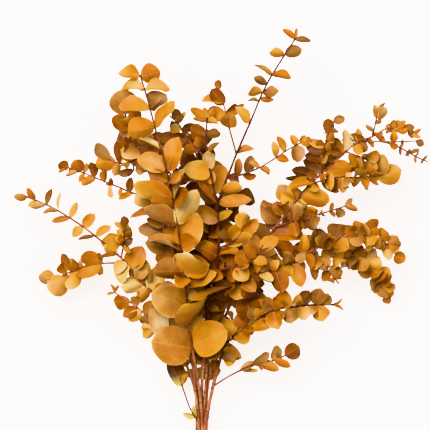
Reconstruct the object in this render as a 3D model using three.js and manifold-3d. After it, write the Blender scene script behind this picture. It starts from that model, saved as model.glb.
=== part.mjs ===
// A bunch of dried eucalyptus, laid down on a table with its cut ends towards -Y.
// Millimetres, +X to the right and +Y up the bunch as seen from above, +Z up.
// Every leafy stem is one grown piece: a main stem, its twigs and its leaves, joined into one solid.
import * as THREE from "three";
import { mergeVertices } from "three/addons/utils/BufferGeometryUtils.js";
import Module from "manifold-3d";

const wasm = await Module();
wasm.setup();

// Driving dimensions
const stemDiameter = 3.9; // where the stems are held together
const stemGap = 0.4; // between neighbouring stems there
const bundleX = -1.5; // middle of the held stems
const bundleHeight = 13.6; // of that middle over the table, at the band
const bundleSlope = 0.13; // how fast the held stems rise from their cut ends
const bundleTop = 50; // the stems lie side by side up to here
const cutEnd = -62; // where the longest stem was cut
const stemSides = 5;
const twigSides = 4;
const stemTipRadius = 1;
const twigRadius = 1.1;
const twigTipRadius = 0.75;
const leafThickness = 0.65;
const leafStalk = 0.9; // power that draws a leaf out at its foot, under 1
const leafSkew = 0.2; // how far a leaf's corners sit from its foot, in radians
const narrowLeaf = 15; // width of those cut with four corners
const middlingLeaf = 24; // length of those cut with six corners
const largeLeaf = 37; // leaves longer than this are cupped and waved
const leafWave = 0.03; // of a large leaf's width, at its edge
const rootDepth = 0.5; // how far a leaf's foot is sunk into its stem
const tipMargin = 1.2; // from a branch's end to the last leaf's foot
const leafClearance = 1.15; // from the middle of one leaf to any other
const tableClearance = 0.5; // from a hanging leaf to the table
const sameRootReach = 5; // leaves rooted this near may touch at their feet
const steepest = 0.9; // of a leaf's direction, upwards or downwards
const bandWidth = 7;
const bandThickness = 1.2;

// Slots in the bundle: three stems in front, four in the middle and three at the back.
// Route points are x, y, z. A twig starts on the nearest stem or earlier twig of its piece.
// A leaf row is: foot x, foot y, tip x, tip y, width, rise of the tip, roll in degrees.
// A sprout row places leaves in crossed pairs: branch, from, to (shares of its length), pairs,
// leaf length at its start and its end, width over length at its start and its end.
const stems = [
  {
    name: "left_tall_stem",
    slot: [0, 1],
    cut: 4,
    colour: 0x8a4a26,
    route: [
      [-6.5, 100, 37], [-13, 138, 52], [-17, 168, 64], [-21, 212, 84], [-27, 262, 106],
      [-33, 300, 120], [-43, 350, 133], [-57, 402, 140], [-66, 436, 139], [-75, 465, 135],
    ],
    twigs: [],
    leaves: [
      [-75, 465, -100, 467, 17, 3, 20],
      [-76, 462, -52, 468, 25, 5, 10],
      [-69, 448, -96, 449, 21, -4, 42],
      [-69, 448, -40, 449, 19, 6, 45],
      [-63, 424, -98, 431, 27, 5, 42],
      [-63, 424, -44, 441, 25, -8, 30],
      [-57, 402, -37, 434, 26, 8, 58],
      [-57, 402, -88, 398, 28, 9, 15],
      [-49, 376, -87, 398, 26, 4, 78],
      [-43, 350, -31, 389, 27, 9, 12],
      [-44, 352, -77, 368, 25, -4, 20],
      [-40, 334, -62, 346, 22, -14, 30],
      [-36, 318, -25, 353, 26, 9, 58],
      [-36, 318, -82, 333, 30, 8, 38],
      [-31, 287, -8, 327, 29, 9, 30],
      [-31, 288, -70, 306, 27, 4, 38],
      [-26, 256, -8, 298, 34, 12, 6],
      [-26, 256, -65, 272, 30, 5, 72],
      [-22, 226, -12, 248, 42, 28, 0],
      [-20, 213, 16, 225, 30, 3, 50],
      [-19, 196, -4, 203, 16, 6, 20],
      [-15, 167, -4, 195, 54, 30, 60],
      [-13, 140, 29, 158, 42, 18, -8],
      [-12, 137, -59, 145, 48, 14, 0],
      [-18, 188, -60, 203, 40, 10, 10],
    ],
    sprouts: [
      [0, 0.62, 0.8, 1, 31, 27, 0.85, 0.75],
      [0, 0.5, 0.6, 1, 36, 32, 0.9, 0.85],
    ],
  },
  {
    name: "low_front_stem",
    slot: [-1, 1],
    cut: 11,
    colour: 0x9a5a30,
    route: [
      [-14, 100, 37], [-28, 130, 47], [-47, 150, 55], [-57, 160, 58], [-70, 178, 60],
      [-84, 190, 58], [-98, 199, 54], [-108, 205, 50],
    ],
    twigs: [
      [[-7.5, 47, 24], [-15, 62, 29], [-21, 78, 33], [-25, 90, 35], [-28, 102, 36]],
      [[-14, 100, 37], [-17.5, 108, 41], [-19, 118, 44]],
    ],
    leaves: [
      [-88, 192, -108, 195, 18, 5, 15],
      [-79, 187, -96, 175, 14, 4, 10],
      [-50, 152, -57, 188, 25, 14, 10],
      [-57, 158, -74, 164, 15, 5, 20],
      [-108, 205, -111, 215, 4.5, 1, 20],
      [-107, 204, -102, 213, 4.5, 2, 20],
      [-108, 204, -116, 202, 5, 0, 25],
      [-25, 91, -41, 121, 22, 3, 12],
      [-25, 92, -19, 106, 9, 4, 20],
      [-10, 52, -24, 57, 9, 2, 15],
      [-10, 52, -11, 68, 7, 5, 30],
    ],
    sprouts: [],
  },
  {
    name: "lower_right_stem",
    slot: [1, 1],
    cut: 0,
    colour: 0x4a2518,
    route: [
      [9.5, 80, 31], [13, 97, 35], [18, 114, 40], [23, 130, 46], [30, 145, 53], [42, 157, 61],
      [56, 166, 68], [72, 177, 75], [90, 185, 79], [110, 188, 80], [132, 190, 78], [157, 190, 73],
    ],
    twigs: [
      [
        [11, 90, 33], [25, 99, 36], [45, 110, 41], [60, 117, 44], [75, 120, 45], [88, 123, 44],
        [105, 131, 40],
      ],
    ],
    leaves: [
      [36, 151, 28, 172, 19, 8, 10],
      [42, 157, 53, 146, 22, 6, 10],
      [52, 164, 80, 165, 18, 8, 15],
      [60, 168, 52, 198, 30, -12, 5],
      [72, 177, 78, 193, 18, 7, 10],
      [84, 182, 90, 162, 19, 6, 10],
      [92, 186, 99, 206, 24, 6, 10],
      [102, 187, 107, 168, 21, 4, 10],
      [111, 188, 115, 201, 13, 5, 15],
      [118, 189, 127, 207, 17, 2, 15],
      [118, 189, 123, 173, 19, 6, 15],
      [134, 190, 141, 209, 20, 4, 5],
      [138, 190, 144, 171, 21, 5, 5],
      [146, 190, 156, 199, 10, 5, 30],
      [157, 190, 168, 196, 5, 2, 40],
      [157, 190, 170, 185, 5, -2, 40],
      [23, 129, 41, 128, 24, 4, 10],
      [14, 104, 13, 125, 12, 6, 15],
      [45, 110, 62, 121, 11, 4, 20],
      [46, 110, 66, 108, 8, -2, 45],
      [60, 117, 80, 131, 14, 4, 15],
      [66, 118, 92, 112, 13, 3, 15],
      [84, 122, 92, 141, 13, 3, 10],
      [86, 122, 106, 116, 11, 2, 20],
      [99, 128, 117, 139, 22, 3, 5],
    ],
    sprouts: [
      [0, 0.66, 0.9, 1, 24, 18, 0.9, 0.8],
    ],
  },
  {
    name: "upper_left_stem",
    slot: [-1.5, 0],
    cut: 7,
    colour: 0x7d3f22,
    route: [
      [-10, 100, 31], [-16, 140, 45], [-23, 180, 58], [-31, 212, 69], [-38, 240, 78],
      [-44, 266, 85], [-55, 315, 95], [-67, 355, 102], [-85, 397, 106], [-98, 432, 105],
    ],
    twigs: [
      [
        [-57, 322, 96], [-83, 324, 96], [-100, 331, 96], [-118, 338, 94], [-142, 348, 90],
        [-165, 356, 84],
      ],
      [[-73, 370, 104], [-86, 362, 103], [-98, 360, 101], [-112, 364, 98], [-120, 370, 94]],
      [[-84, 362, 103], [-83, 352, 108], [-90, 346, 112]],
    ],
    leaves: [
      [-92, 418, -97, 448, 33, 4, 5],
      [-90, 408, -75, 422, 16, 4, 10],
      [-88, 403, -110, 412, 20, 5, 15],
      [-81, 386, -103, 399, 26, -8, 10],
      [-56, 320, -85, 313, 20, 8, 10],
      [-52, 301, -87, 298, 20, 4, 50],
      [-46, 274, -73, 285, 21, 6, 15],
      [-42, 257, -68, 265, 21, 8, 10],
      [-36, 231, -47, 263, 25, -7, 5],
      [-112, 364, -130, 383, 17, 3, 10],
      [-104, 361, -128, 361, 20, 3, 15],
      [-99, 360, -104, 387, 11, 5, 10],
      [-88, 362, -98, 381, 9, 5, 25],
      [-84, 352, -101, 346, 11, 3, 20],
      [-161, 355, -174, 359, 14, 2, 10],
      [-146, 350, -155, 363, 18, 4, 5],
      [-130, 343, -134, 362, 12, 4, 10],
      [-129, 342, -146, 335, 11, 2, 15],
      [-118, 338, -119, 353, 10, 3, 20],
      [-112, 335, -108, 319, 12, 6, 58],
      [-88, 326, -86, 343, 11, 4, 15],
      [-85, 324, -101, 317, 8, 4, 15],
    ],
    sprouts: [
      [0, 0.45, 0.97, 4, 34, 26, 0.9, 0.85],
      [1, 0.3, 0.95, 2, 15, 12, 0.7, 0.6],
    ],
  },
  {
    name: "centre_stem",
    slot: [-0.5, 0],
    cut: 13,
    colour: 0x7d3f22,
    route: [
      [-1, 100, 31], [3, 140, 43], [8, 180, 57], [14, 218, 71], [19, 262, 86], [18, 300, 95],
      [12, 335, 100], [6, 365, 101], [4, 393, 100], [5, 415, 97],
    ],
    twigs: [
      [[17, 230, 75], [32, 235, 86], [51, 238, 94], [62, 247, 98], [72, 262, 100]],
      [[19, 258, 85], [36, 266, 94], [47, 279, 99], [49, 290, 101]],
      [[11, 198, 63], [34, 212, 76], [60, 225, 85], [82, 233, 88], [108, 240, 84], [120, 243, 82]],
      [[7, 360, 101], [-6, 376, 103], [-20, 390, 104], [-30, 408, 103], [-40, 417, 100]],
    ],
    leaves: [
      [4, 394, -15, 402, 20, 5, 10],
      [4, 393, 22, 398, 13, 5, 15],
      [5, 412, -14, 426, 13, 3, 20],
      [5, 415, 13, 425, 8, 2, 20],
      [7, 352, 6, 375, 16, 10, 5],
      [5, 374, 18, 385, 10, 5, 40],
      [9, 347, -22, 354, 23, 7, 10],
      [48, 281, 48, 302, 18, 6, 5],
      [47, 278, 65, 293, 16, 4, 10],
      [38, 268, 59, 276, 12, 8, 15],
      [27, 263, 52, 286, 26, -7, 5],
      [63, 248, 52, 277, 24, 6, 10],
      [70, 257, 88, 271, 18, 4, 10],
      [66, 252, 88, 254, 12, 3, 25],
      [61, 246, 76, 240, 16, 5, 10],
      [40, 236, 54, 222, 23, 8, 5],
      [34, 212, 47, 198, 19, 6, 5],
      [53, 221, 67, 196, 26, -9, 5],
      [68, 228, 84, 219, 12, 5, 20],
      [86, 234, 96, 206, 25, 3, 5],
      [110, 240, 117, 211, 19, 3, 10],
      [-35, 412, -30, 425, 13, 4, 10],
      [-30, 408, -22, 422, 8, 3, 30],
      [-28, 403, -39, 398, 13, 4, 15],
      [-26, 400, -8, 404, 12, -5, 20],
      [-18, 388, -51, 390, 19, -9, 10],
      [-5, 375, -28, 371, 14, -4, 45],
      [33, 211, -22, 199, 36, 30, 75],
    ],
    sprouts: [
      [0, 0.4, 0.7, 3, 34, 28, 0.85, 0.75],
      [1, 0.3, 0.98, 2, 22, 17, 0.85, 0.8],
      [3, 0.2, 0.95, 2, 24, 18, 0.85, 0.8],
    ],
  },
  {
    name: "right_tall_stem",
    slot: [0.5, 0],
    cut: 2,
    colour: 0x5a2318,
    route: [
      [3.5, 100, 28], [4, 160, 40], [3, 220, 52], [6, 275, 64], [13, 300, 70], [23, 326, 76],
      [40, 371, 85], [57, 410, 90], [75, 452, 94], [98, 490, 95], [111, 510, 95],
    ],
    twigs: [
      [[40, 371, 85], [36, 386, 90], [31, 404, 94], [27, 422, 96], [19, 450, 96]],
      [[29, 343, 79], [45, 346, 87], [68, 355, 92], [88, 367, 95], [103, 377, 96], [118, 385, 96]],
    ],
    leaves: [
      [111, 510, 96, 521, 9, 2, 20],
      [111, 510, 129, 507, 9, 2, 20],
      [111, 509, 112, 522, 5, 2, 20],
      [98, 490, 80, 493, 14, 2, 35],
      [98, 490, 118, 497, 16, 3, 10],
      [83, 466, 62, 476, 13, 2, 55],
      [83, 466, 106, 464, 14, 3, 30],
      [77, 455, 62, 462, 11, 3, 10],
      [72, 445, 54, 447, 15, 3, 35],
      [72, 445, 91, 444, 15, 3, 35],
      [69, 438, 85, 433, 9, 3, 20],
      [67, 435, 53, 436, 9, 2, 55],
      [56, 408, 38, 426, 16, 4, 40],
      [41, 373, 20, 381, 13, 5, 50],
      [41, 373, 61, 378, 13, 5, 48],
      [23, 326, -3, 348, 26, 7, 15],
      [23, 326, 46, 332, 19, 7, 30],
      [27, 337, 12, 356, 24, -12, 10],
      [31, 402, 33, 422, 20, 5, 5],
      [28, 418, 43, 430, 14, 4, 10],
      [28, 417, 50, 432, 9, -4, 30],
      [29, 414, -3, 423, 20, 4, 10],
      [25, 430, 10, 449, 18, 3, 10],
      [19, 449, 18, 460, 10, 2, 10],
      [24, 434, -2, 438, 13, -4, 25],
      [68, 355, 55, 361, 9, 3, 30],
      [68, 355, 81, 348, 9, 3, 30],
      [88, 367, 84, 386, 10, 4, 20],
      [88, 367, 103, 361, 10, 3, 20],
      [113, 382, 113, 361, 18, 3, 10],
      [118, 385, 131, 388, 12, 3, 10],
      [111, 381, 107, 394, 10, 3, 20],
      [52, 348, 59, 370, 15, -6, 10],
      [40, 346, 44, 365, 11, 4, 15],
      [48, 346, 64, 343, 10, -3, 20],
    ],
    sprouts: [
      [0, 0.38, 0.6, 3, 34, 28, 0.85, 0.75],
    ],
  },
  {
    name: "right_drooping_stem",
    slot: [1.5, 0],
    cut: 9,
    colour: 0x6b3320,
    route: [
      [15, 100, 26], [28, 145, 36], [52, 195, 50], [80, 232, 63], [108, 248, 71], [130, 255, 76],
      [145, 262, 79], [160, 269, 81], [175, 274, 81], [190, 276, 78], [205, 273, 72],
      [218, 266, 64], [228, 257, 55], [235, 247, 45],
    ],
    twigs: [
      [
        [108, 248, 71], [122, 249, 68], [140, 248, 65], [160, 247, 62], [178, 246, 58],
        [195, 242, 53], [206, 232, 46], [214, 220, 38], [219, 210, 31], [223, 199, 24],
      ],
      [[134, 249, 66], [144, 239, 66], [153, 228, 63], [164, 215, 58]],
    ],
    leaves: [
      [135, 257, 141, 280, 27, 7, 5],
      [158, 268, 165, 286, 27, 6, 5],
      [168, 272, 186, 262, 21, 5, 10],
      [186, 276, 193, 287, 26, 5, 5],
      [199, 275, 206, 283, 22, 4, 5],
      [212, 270, 222, 277, 20, 3, 5],
      [222, 263, 236, 268, 19, 2, 10],
      [232, 252, 243, 242, 17, 0, 5],
      [226, 258, 222, 244, 14, 2, 15],
      [158, 247, 168, 261, 20, 5, 10],
      [176, 246, 193, 260, 24, 5, 5],
      [194, 243, 208, 256, 19, 4, 10],
      [194, 243, 215, 236, 20, 4, 10],
      [206, 232, 187, 228, 18, 4, 15],
      [209, 229, 227, 226, 20, 3, 5],
      [217, 214, 203, 208, 18, 3, 5],
      [218, 213, 233, 209, 14, 2, 15],
      [222, 201, 225, 190, 12, 0, 10],
      [140, 248, 153, 240, 15, 4, 10],
      [132, 249, 135, 219, 12, -5, 15],
      [145, 248, 152, 227, 15, 3, 15],
      [154, 228, 169, 229, 14, 3, 10],
      [100, 244, 124, 264, 17, -6, 10],
      [117, 251, 123, 273, 13, 6, 15],
    ],
    sprouts: [
      [0, 0.62, 0.94, 3, 24, 19, 0.95, 0.9],
      [1, 0.3, 0.9, 2, 20, 15, 0.9, 0.85],
    ],
  },
  {
    name: "left_reach_stem",
    slot: [-1, -1],
    cut: 5,
    colour: 0x8a4a2a,
    route: [
      [-9, 100, 23], [-24, 146, 28], [-44, 182, 33], [-65, 208, 38], [-82, 223, 43], [-95, 242, 48],
      [-113, 258, 52], [-137, 278, 55], [-160, 294, 56], [-188, 310, 56], [-213, 320, 54],
    ],
    twigs: [
      [
        [-94, 240, 47], [-110, 240, 47], [-127, 239, 46], [-142, 236, 44], [-155, 231, 42],
        [-168, 226, 39], [-182, 217, 34],
      ],
      [[-99, 246, 49], [-96, 262, 58], [-95, 276, 65], [-93, 292, 70]],
    ],
    leaves: [
      [-213, 320, -228, 320, 10, 1, 10],
      [-202, 317, -213, 330, 10, 2, 15],
      [-200, 316, -211, 309, 7, 2, 30],
      [-189, 311, -207, 306, 8, 2, 20],
      [-189, 311, -184, 330, 8, 2, 20],
      [-175, 303, -193, 302, 9, 2, 40],
      [-175, 303, -173, 325, 9, 2, 62],
      [-161, 294, -182, 290, 9, 3, 20],
      [-161, 294, -152, 313, 9, 3, 20],
      [-145, 284, -131, 298, 15, 3, 10],
      [-145, 284, -157, 273, 13, 3, 10],
      [-130, 273, -111, 283, 12, 3, 25],
      [-130, 273, -152, 269, 10, 3, 62],
      [-108, 254, -112, 275, 24, 5, 10],
      [-104, 250, -127, 246, 12, 4, 58],
      [-93, 240, -101, 218, 20, 6, 10],
      [-88, 233, -75, 258, 25, 9, 10],
      [-71, 214, -98, 211, 22, 9, 10],
      [-97, 246, -81, 272, 23, 7, 20],
      [-70, 212, -72, 246, 21, 5, 10],
      [-58, 201, -55, 234, 23, 10, 10],
      [-94, 284, -96, 297, 12, 3, 10],
      [-95, 273, -86, 284, 12, 4, 10],
      [-95, 272, -104, 280, 9, 2, 20],
      [-121, 239, -148, 249, 20, 9, 10],
      [-124, 239, -151, 224, 18, 2, 10],
      [-155, 231, -173, 250, 14, 5, 20],
      [-152, 232, -163, 209, 20, 5, 10],
      [-180, 219, -199, 224, 20, 3, 10],
      [-170, 225, -181, 200, 28, 4, 5],
    ],
    sprouts: [
      [0, 0.36, 0.6, 2, 30, 25, 0.85, 0.8],
      [1, 0.3, 0.9, 1, 20, 17, 0.85, 0.85],
    ],
  },
  {
    name: "back_stem",
    slot: [0, -1],
    cut: 15,
    colour: 0x6b3a22,
    route: [
      [-1, 100, 23], [-1, 150, 26], [2, 205, 29], [6, 260, 33], [2, 320, 38], [-8, 370, 44],
      [-16, 405, 50],
    ],
    twigs: [
      [[0, 175, 28], [-18, 215, 27], [-32, 250, 22], [-42, 280, 14], [-50, 302, 6], [-56, 314, 1.2]],
      [[2, 200, 29], [26, 225, 28], [50, 245, 23], [72, 262, 15], [88, 274, 7], [98, 281, 1.2]],
      [[6, 262, 33], [-12, 300, 37], [-34, 340, 42], [-58, 372, 48], [-72, 398, 52]],
      [[6, 270, 34], [30, 310, 40], [46, 330, 44]],
    ],
    leaves: [],
    flat: [[-54, 312, -70, 338, 28], [96, 280, 122, 294, 28]],
    sprouts: [
      [0, 0.35, 0.98, 3, 40, 30, 0.88, 0.85],
      [1, 0.4, 0.85, 1, 30, 28, 0.9, 0.9],
      [2, 0.4, 0.85, 1, 30, 28, 0.9, 0.9],
      [3, 0.35, 0.97, 2, 34, 28, 0.9, 0.85],
      [4, 0.35, 0.97, 1, 34, 28, 0.9, 0.85],
    ],
  },
  {
    name: "upper_right_stem",
    slot: [1, -1],
    cut: 3,
    colour: 0x8a4526,
    route: [
      [7, 100, 22], [18, 150, 31], [40, 205, 44], [62, 246, 55], [82, 276, 63], [98, 298, 69],
      [122, 328, 77], [145, 350, 83], [165, 368, 87], [185, 385, 89], [203, 392, 89],
      [222, 402, 88], [242, 400, 86], [252, 396, 84],
    ],
    twigs: [
      [[190, 387, 89], [215, 386, 92], [240, 386, 91], [257, 387, 89]],
      [[218, 386, 92], [225, 383, 91], [236, 379, 90], [247, 373, 88], [258, 367, 86], [270, 362, 84]],
      [[203, 392, 89], [206, 404, 92], [209, 420, 94]],
      [[130, 336, 79], [150, 341, 82], [165, 344, 84], [180, 343, 84], [195, 344, 82], [210, 343, 79]],
      [[88, 284, 65], [104, 289, 74], [120, 292, 80], [136, 298, 83], [150, 302, 84], [172, 309, 82]],
      [[142, 348, 82], [144, 362, 92], [145, 376, 98], [149, 392, 101], [157, 411, 101]],
      [[172, 374, 88], [185, 369, 91], [197, 364, 92], [206, 356, 91]],
    ],
    leaves: [
      [256, 387, 265, 382, 10, 1, 5],
      [228, 386, 229, 374, 11, 3, 5],
      [228, 386, 229, 398, 10, 3, 5],
      [252, 396, 262, 401, 6, 1, 20],
      [252, 396, 261, 391, 6, 2, 20],
      [208, 414, 206, 430, 8, 3, 10],
      [209, 414, 220, 426, 15, 3, 10],
      [209, 420, 217, 433, 6, 2, 35],
      [205, 398, 195, 406, 7, 3, 30],
      [205, 397, 220, 383, 8, 4, 30],
      [206, 344, 218, 371, 24, 6, 5],
      [210, 343, 238, 352, 27, 3, 5],
      [172, 374, 172, 402, 15, 8, 15],
      [168, 370, 148, 387, 22, -6, 10],
      [148, 353, 179, 356, 21, 9, 10],
      [147, 352, 131, 368, 10, 9, 35],
      [150, 354, 154, 328, 12, 8, 25],
      [134, 340, 103, 332, 13, 8, 20],
      [118, 322, 149, 314, 24, 8, 10],
      [104, 305, 123, 312, 15, 7, 5],
      [100, 300, 131, 300, 24, 3, 5],
      [92, 290, 71, 304, 21, 7, 5],
      [82, 276, 119, 276, 26, 9, 5],
      [84, 280, 72, 316, 16, -5, 5],
      [145, 380, 128, 387, 11, 3, 5],
      [148, 388, 157, 396, 12, 3, 5],
      [150, 396, 150, 414, 15, 3, 5],
      [156, 410, 170, 414, 12, 2, 10],
      [160, 305, 170, 297, 12, 3, 5],
      [172, 309, 180, 318, 7, 2, 15],
      [172, 309, 186, 304, 8, 2, 15],
      [122, 292, 136, 280, 12, 3, 10],
      [183, 384, 197, 391, 12, -3, 10],
      [182, 382, 190, 370, 12, 5, 20],
      [197, 364, 203, 348, 20, -4, 5],
      [186, 369, 184, 349, 23, -5, 5],
      [170, 371, 150, 383, 14, -8, 5],
      [149, 353, 122, 363, 17, -14, 5],
      [138, 344, 108, 352, 16, -10, 5],
      [228, 403, 244, 408, 11, 2, 20],
    ],
    sprouts: [
      [0, 0.45, 0.74, 3, 32, 26, 0.85, 0.8],
      [0, 0.78, 0.98, 3, 15, 12, 0.8, 0.75],
      [2, 0.25, 0.98, 4, 10, 8, 0.5, 0.45],
      [4, 0.3, 0.9, 2, 21, 18, 0.7, 0.75],
      [5, 0.4, 0.9, 2, 14, 10, 0.6, 0.55],
      [6, 0.2, 0.8, 1, 18, 13, 0.85, 0.8],
    ],
  },
];

const up = new THREE.Vector3(0, 0, 1);
const mix = (from, to, share) => from + (to - from) * share;

// A small linear generator, so that the same bunch grows every time.
function seeded(seed) {
  let state = seed >>> 0;
  return () => {
    state = (Math.imul(state, 1664525) + 1013904223) >>> 0;
    return state / 4294967296;
  };
}

// The nearest place on a piece's branches to a point seen from above.
function nearest(branches, x, y) {
  let best = { distance: Infinity };
  branches.forEach((branch, index) => {
    for (let i = 0; i + 1 < branch.points.length; i += 1) {
      const start = branch.points[i];
      const end = branch.points[i + 1];
      const dx = end.x - start.x;
      const dy = end.y - start.y;
      const along = ((x - start.x) * dx + (y - start.y) * dy) / (dx * dx + dy * dy);
      const isLast = i + 2 === branch.points.length;
      const furthest = isLast ? 1 - tipMargin / start.distanceTo(end) : 1;
      const share = Math.min(Math.max(along, 0), furthest);
      const distance = Math.hypot(start.x + dx * share - x, start.y + dy * share - y);
      if (distance < best.distance - 1e-6) {
        const tangent = end.clone().sub(start).normalize();
        const radius = innerRadius(branch, i, share);
        best = { distance, index, tangent, radius, point: start.clone().lerp(end, share) };
      }
    }
  });
  return best;
}

// The place at a share of a branch's length.
function placeAt(branch, share) {
  const { points } = branch;
  const lengths = points.slice(1).map((point, i) => point.distanceTo(points[i]));
  let rest = share * lengths.reduce((sum, length) => sum + length, 0);
  let i = 0;
  while (i + 1 < lengths.length && rest > lengths[i]) {
    rest -= lengths[i];
    i += 1;
  }
  const tangent = points[i + 1].clone().sub(points[i]).normalize();
  const radius = innerRadius(branch, i, rest / lengths[i]);
  return { point: points[i].clone().lerp(points[i + 1], rest / lengths[i]), tangent, radius };
}

// Where a stem lies in the bundle at a height y.
function inBundle(slot, y) {
  const pitch = stemDiameter + stemGap;
  const x = bundleX + slot[0] * pitch;
  const z = bundleHeight + bundleSlope * y + slot[1] * pitch * Math.sin(Math.PI / 3);
  return new THREE.Vector3(x, y, z);
}

function growBranches(stem) {
  const held = [cutEnd + stem.cut, 0, bundleTop].map((y) => inBundle(stem.slot, y));
  const route = [...held, ...stem.route.map((point) => new THREE.Vector3(...point))];
  const branches = [
    { points: route, start: stemDiameter / 2, end: stemTipRadius, sides: stemSides },
  ];
  for (const twig of stem.twigs) {
    const points = twig.map((point) => new THREE.Vector3(...point));
    points[0] = nearest(branches, points[0].x, points[0].y).point;
    branches.push({ points, start: twigRadius, end: twigTipRadius, sides: twigSides });
  }
  return branches;
}

// A tapering round rod along a branch: a cylinder whose rings are carried onto it.
function branchFrame(points, i) {
  const before = points[Math.max(i - 1, 0)];
  const after = points[Math.min(i + 1, points.length - 1)];
  const tangent = after.clone().sub(before).normalize();
  const side = tangent.clone().cross(up).normalize();
  return { side, top: side.clone().cross(tangent) };
}

function branchRing(branch, i, radius) {
  const { side, top } = branchFrame(branch.points, i);
  const ring = [];
  for (let k = 0; k < branch.sides; k += 1) {
    const angle = (2 * Math.PI * k) / branch.sides;
    ring.push(
      branch.points[i].clone()
        .addScaledVector(side, Math.sin(angle) * radius)
        .addScaledVector(top, Math.cos(angle) * radius),
    );
  }
  return ring;
}

function branchRadius(branch, i) {
  return mix(branch.start, branch.end, i / (branch.points.length - 1));
}

// The radius of the largest round that fits in a branch's section.
function innerRadius(branch, i, share) {
  const outer = mix(branchRadius(branch, i), branchRadius(branch, i + 1), share);
  return outer * Math.cos(Math.PI / branch.sides);
}

function branchSolid(branch) {
  const last = branch.points.length - 1;
  const geometry = new THREE.CylinderGeometry(1, 1, last, branch.sides, last);
  const position = geometry.attributes.position;
  for (let v = 0; v < position.count; v += 1) {
    const i = Math.round(position.getY(v) + last / 2);
    const radius = branchRadius(branch, i);
    const { side, top } = branchFrame(branch.points, i);
    const place = branch.points[i].clone()
      .addScaledVector(side, position.getX(v) * radius)
      .addScaledVector(top, position.getZ(v) * radius);
    position.setXYZ(v, place.x, place.y, place.z);
  }
  return solidOf(geometry);
}

// A leaf's own frame: its foot, its rib's direction, its upper side and across.
function leafFrame(foot, direction, roll, tangent) {
  const facing = up.clone().addScaledVector(direction, -direction.z).normalize();
  const upper = facing.clone().applyAxisAngle(direction, roll);
  if (upper.dot(tangent) < -0.02) upper.negate();
  return { foot, direction, upper, across: direction.clone().cross(upper) };
}

// A point of a leaf's outline, by its angle round the middle from the foot and its share of the way out.
function leafPlan(leaf, angle, out) {
  const turned = angle + leafSkew * Math.sin(angle);
  const along = leaf.length * Math.max((1 - out * Math.cos(turned)) / 2, 0) ** leafStalk;
  return { along, side: 0.5 * leaf.width * out * Math.sin(turned) };
}

// The same point in space, and off the leaf's face.
// A large leaf is cupped, bent along its rib and waved at its edge. A smaller one is flat.
function leafPoint(leaf, angle, out, off) {
  const { along, side } = leafPlan(leaf, angle, out);
  let height = 0;
  if (leaf.length > largeLeaf) {
    const cup = (leaf.cup * 2 * side * side) / leaf.width;
    const bend = (leaf.bend * along * along) / leaf.length;
    const wave = leafWave * leaf.width * out * out * Math.sin(3 * angle + leaf.phase);
    height = cup + bend + wave;
  }
  return leaf.frame.foot.clone()
    .addScaledVector(leaf.frame.direction, along)
    .addScaledVector(leaf.frame.across, side)
    .addScaledVector(leaf.frame.upper, height + off);
}

function leafSides(leaf) {
  if (leaf.length > largeLeaf) return 8;
  if (leaf.width < narrowLeaf) return 4;
  return leaf.length > middlingLeaf ? 6 : 5;
}

function leafSolid(leaf) {
  return leaf.length > largeLeaf ? wavedLeaf(leaf) : plainLeaf(leaf);
}

// A flat leaf: its outline extruded.
function plainLeaf(leaf) {
  const sides = leafSides(leaf);
  const corners = Array.from({ length: sides }, (_, k) => {
    const { along, side } = leafPlan(leaf, (2 * Math.PI * k) / sides, 1);
    return new THREE.Vector2(along, -side);
  });
  const settings = { depth: leafThickness, bevelEnabled: false };
  const geometry = new THREE.ExtrudeGeometry(new THREE.Shape(corners), settings);
  const { foot, direction, upper, across } = leaf.frame;
  geometry.translate(0, 0, -leafThickness / 2);
  geometry.applyMatrix4(
    new THREE.Matrix4().makeBasis(direction, across.clone().negate(), upper).setPosition(foot),
  );
  return solidOf(geometry);
}

// A large leaf: a thin disc with its points carried onto the leaf's shape.
function wavedLeaf(leaf) {
  const geometry = new THREE.CylinderGeometry(1, 1, leafThickness, leafSides(leaf), 1);
  const position = geometry.attributes.position;
  for (let v = 0; v < position.count; v += 1) {
    const angle = Math.atan2(position.getX(v), position.getZ(v));
    const out = Math.hypot(position.getX(v), position.getZ(v));
    const place = leafPoint(leaf, angle, out, position.getY(v));
    position.setXYZ(v, place.x, place.y, place.z);
  }
  return solidOf(geometry);
}

function solidOf(geometry) {
  geometry.deleteAttribute("normal");
  geometry.deleteAttribute("uv");
  const merged = mergeVertices(geometry, 1e-4);
  const mesh = new wasm.Mesh({
    numProp: 3,
    vertProperties: new Float32Array(merged.attributes.position.array),
    triVerts: new Uint32Array(merged.index.array),
  });
  return new wasm.Manifold(mesh);
}

// Bodies for the clearing rule: corner points, edges and triangles.
function bodyOf(corners, edges, triangles, owner) {
  const box = new THREE.Box3().setFromPoints(corners);
  return { corners, edges, triangles, owner, box };
}

function leafSheet(leaf, owner) {
  const sides = leafSides(leaf);
  const corners = [leafPoint(leaf, 0, 0, 0)];
  const edges = [];
  const triangles = [];
  for (let k = 0; k < sides; k += 1) {
    corners.push(leafPoint(leaf, (2 * Math.PI * k) / sides, 1, 0));
    const next = 1 + ((k + 1) % sides);
    edges.push([0, k + 1], [k + 1, next]);
    triangles.push([0, k + 1, next]);
  }
  return bodyOf(corners, edges, triangles, owner);
}

// A leaf without the stretch at its foot.
function leafBlade(leaf) {
  const sheet = leafSheet(leaf, null);
  const awayFromFoot = (corners) => !corners.includes(1);
  return { ...sheet, edges: sheet.edges.filter(awayFromFoot), triangles: sheet.triangles.filter(awayFromFoot) };
}

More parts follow.
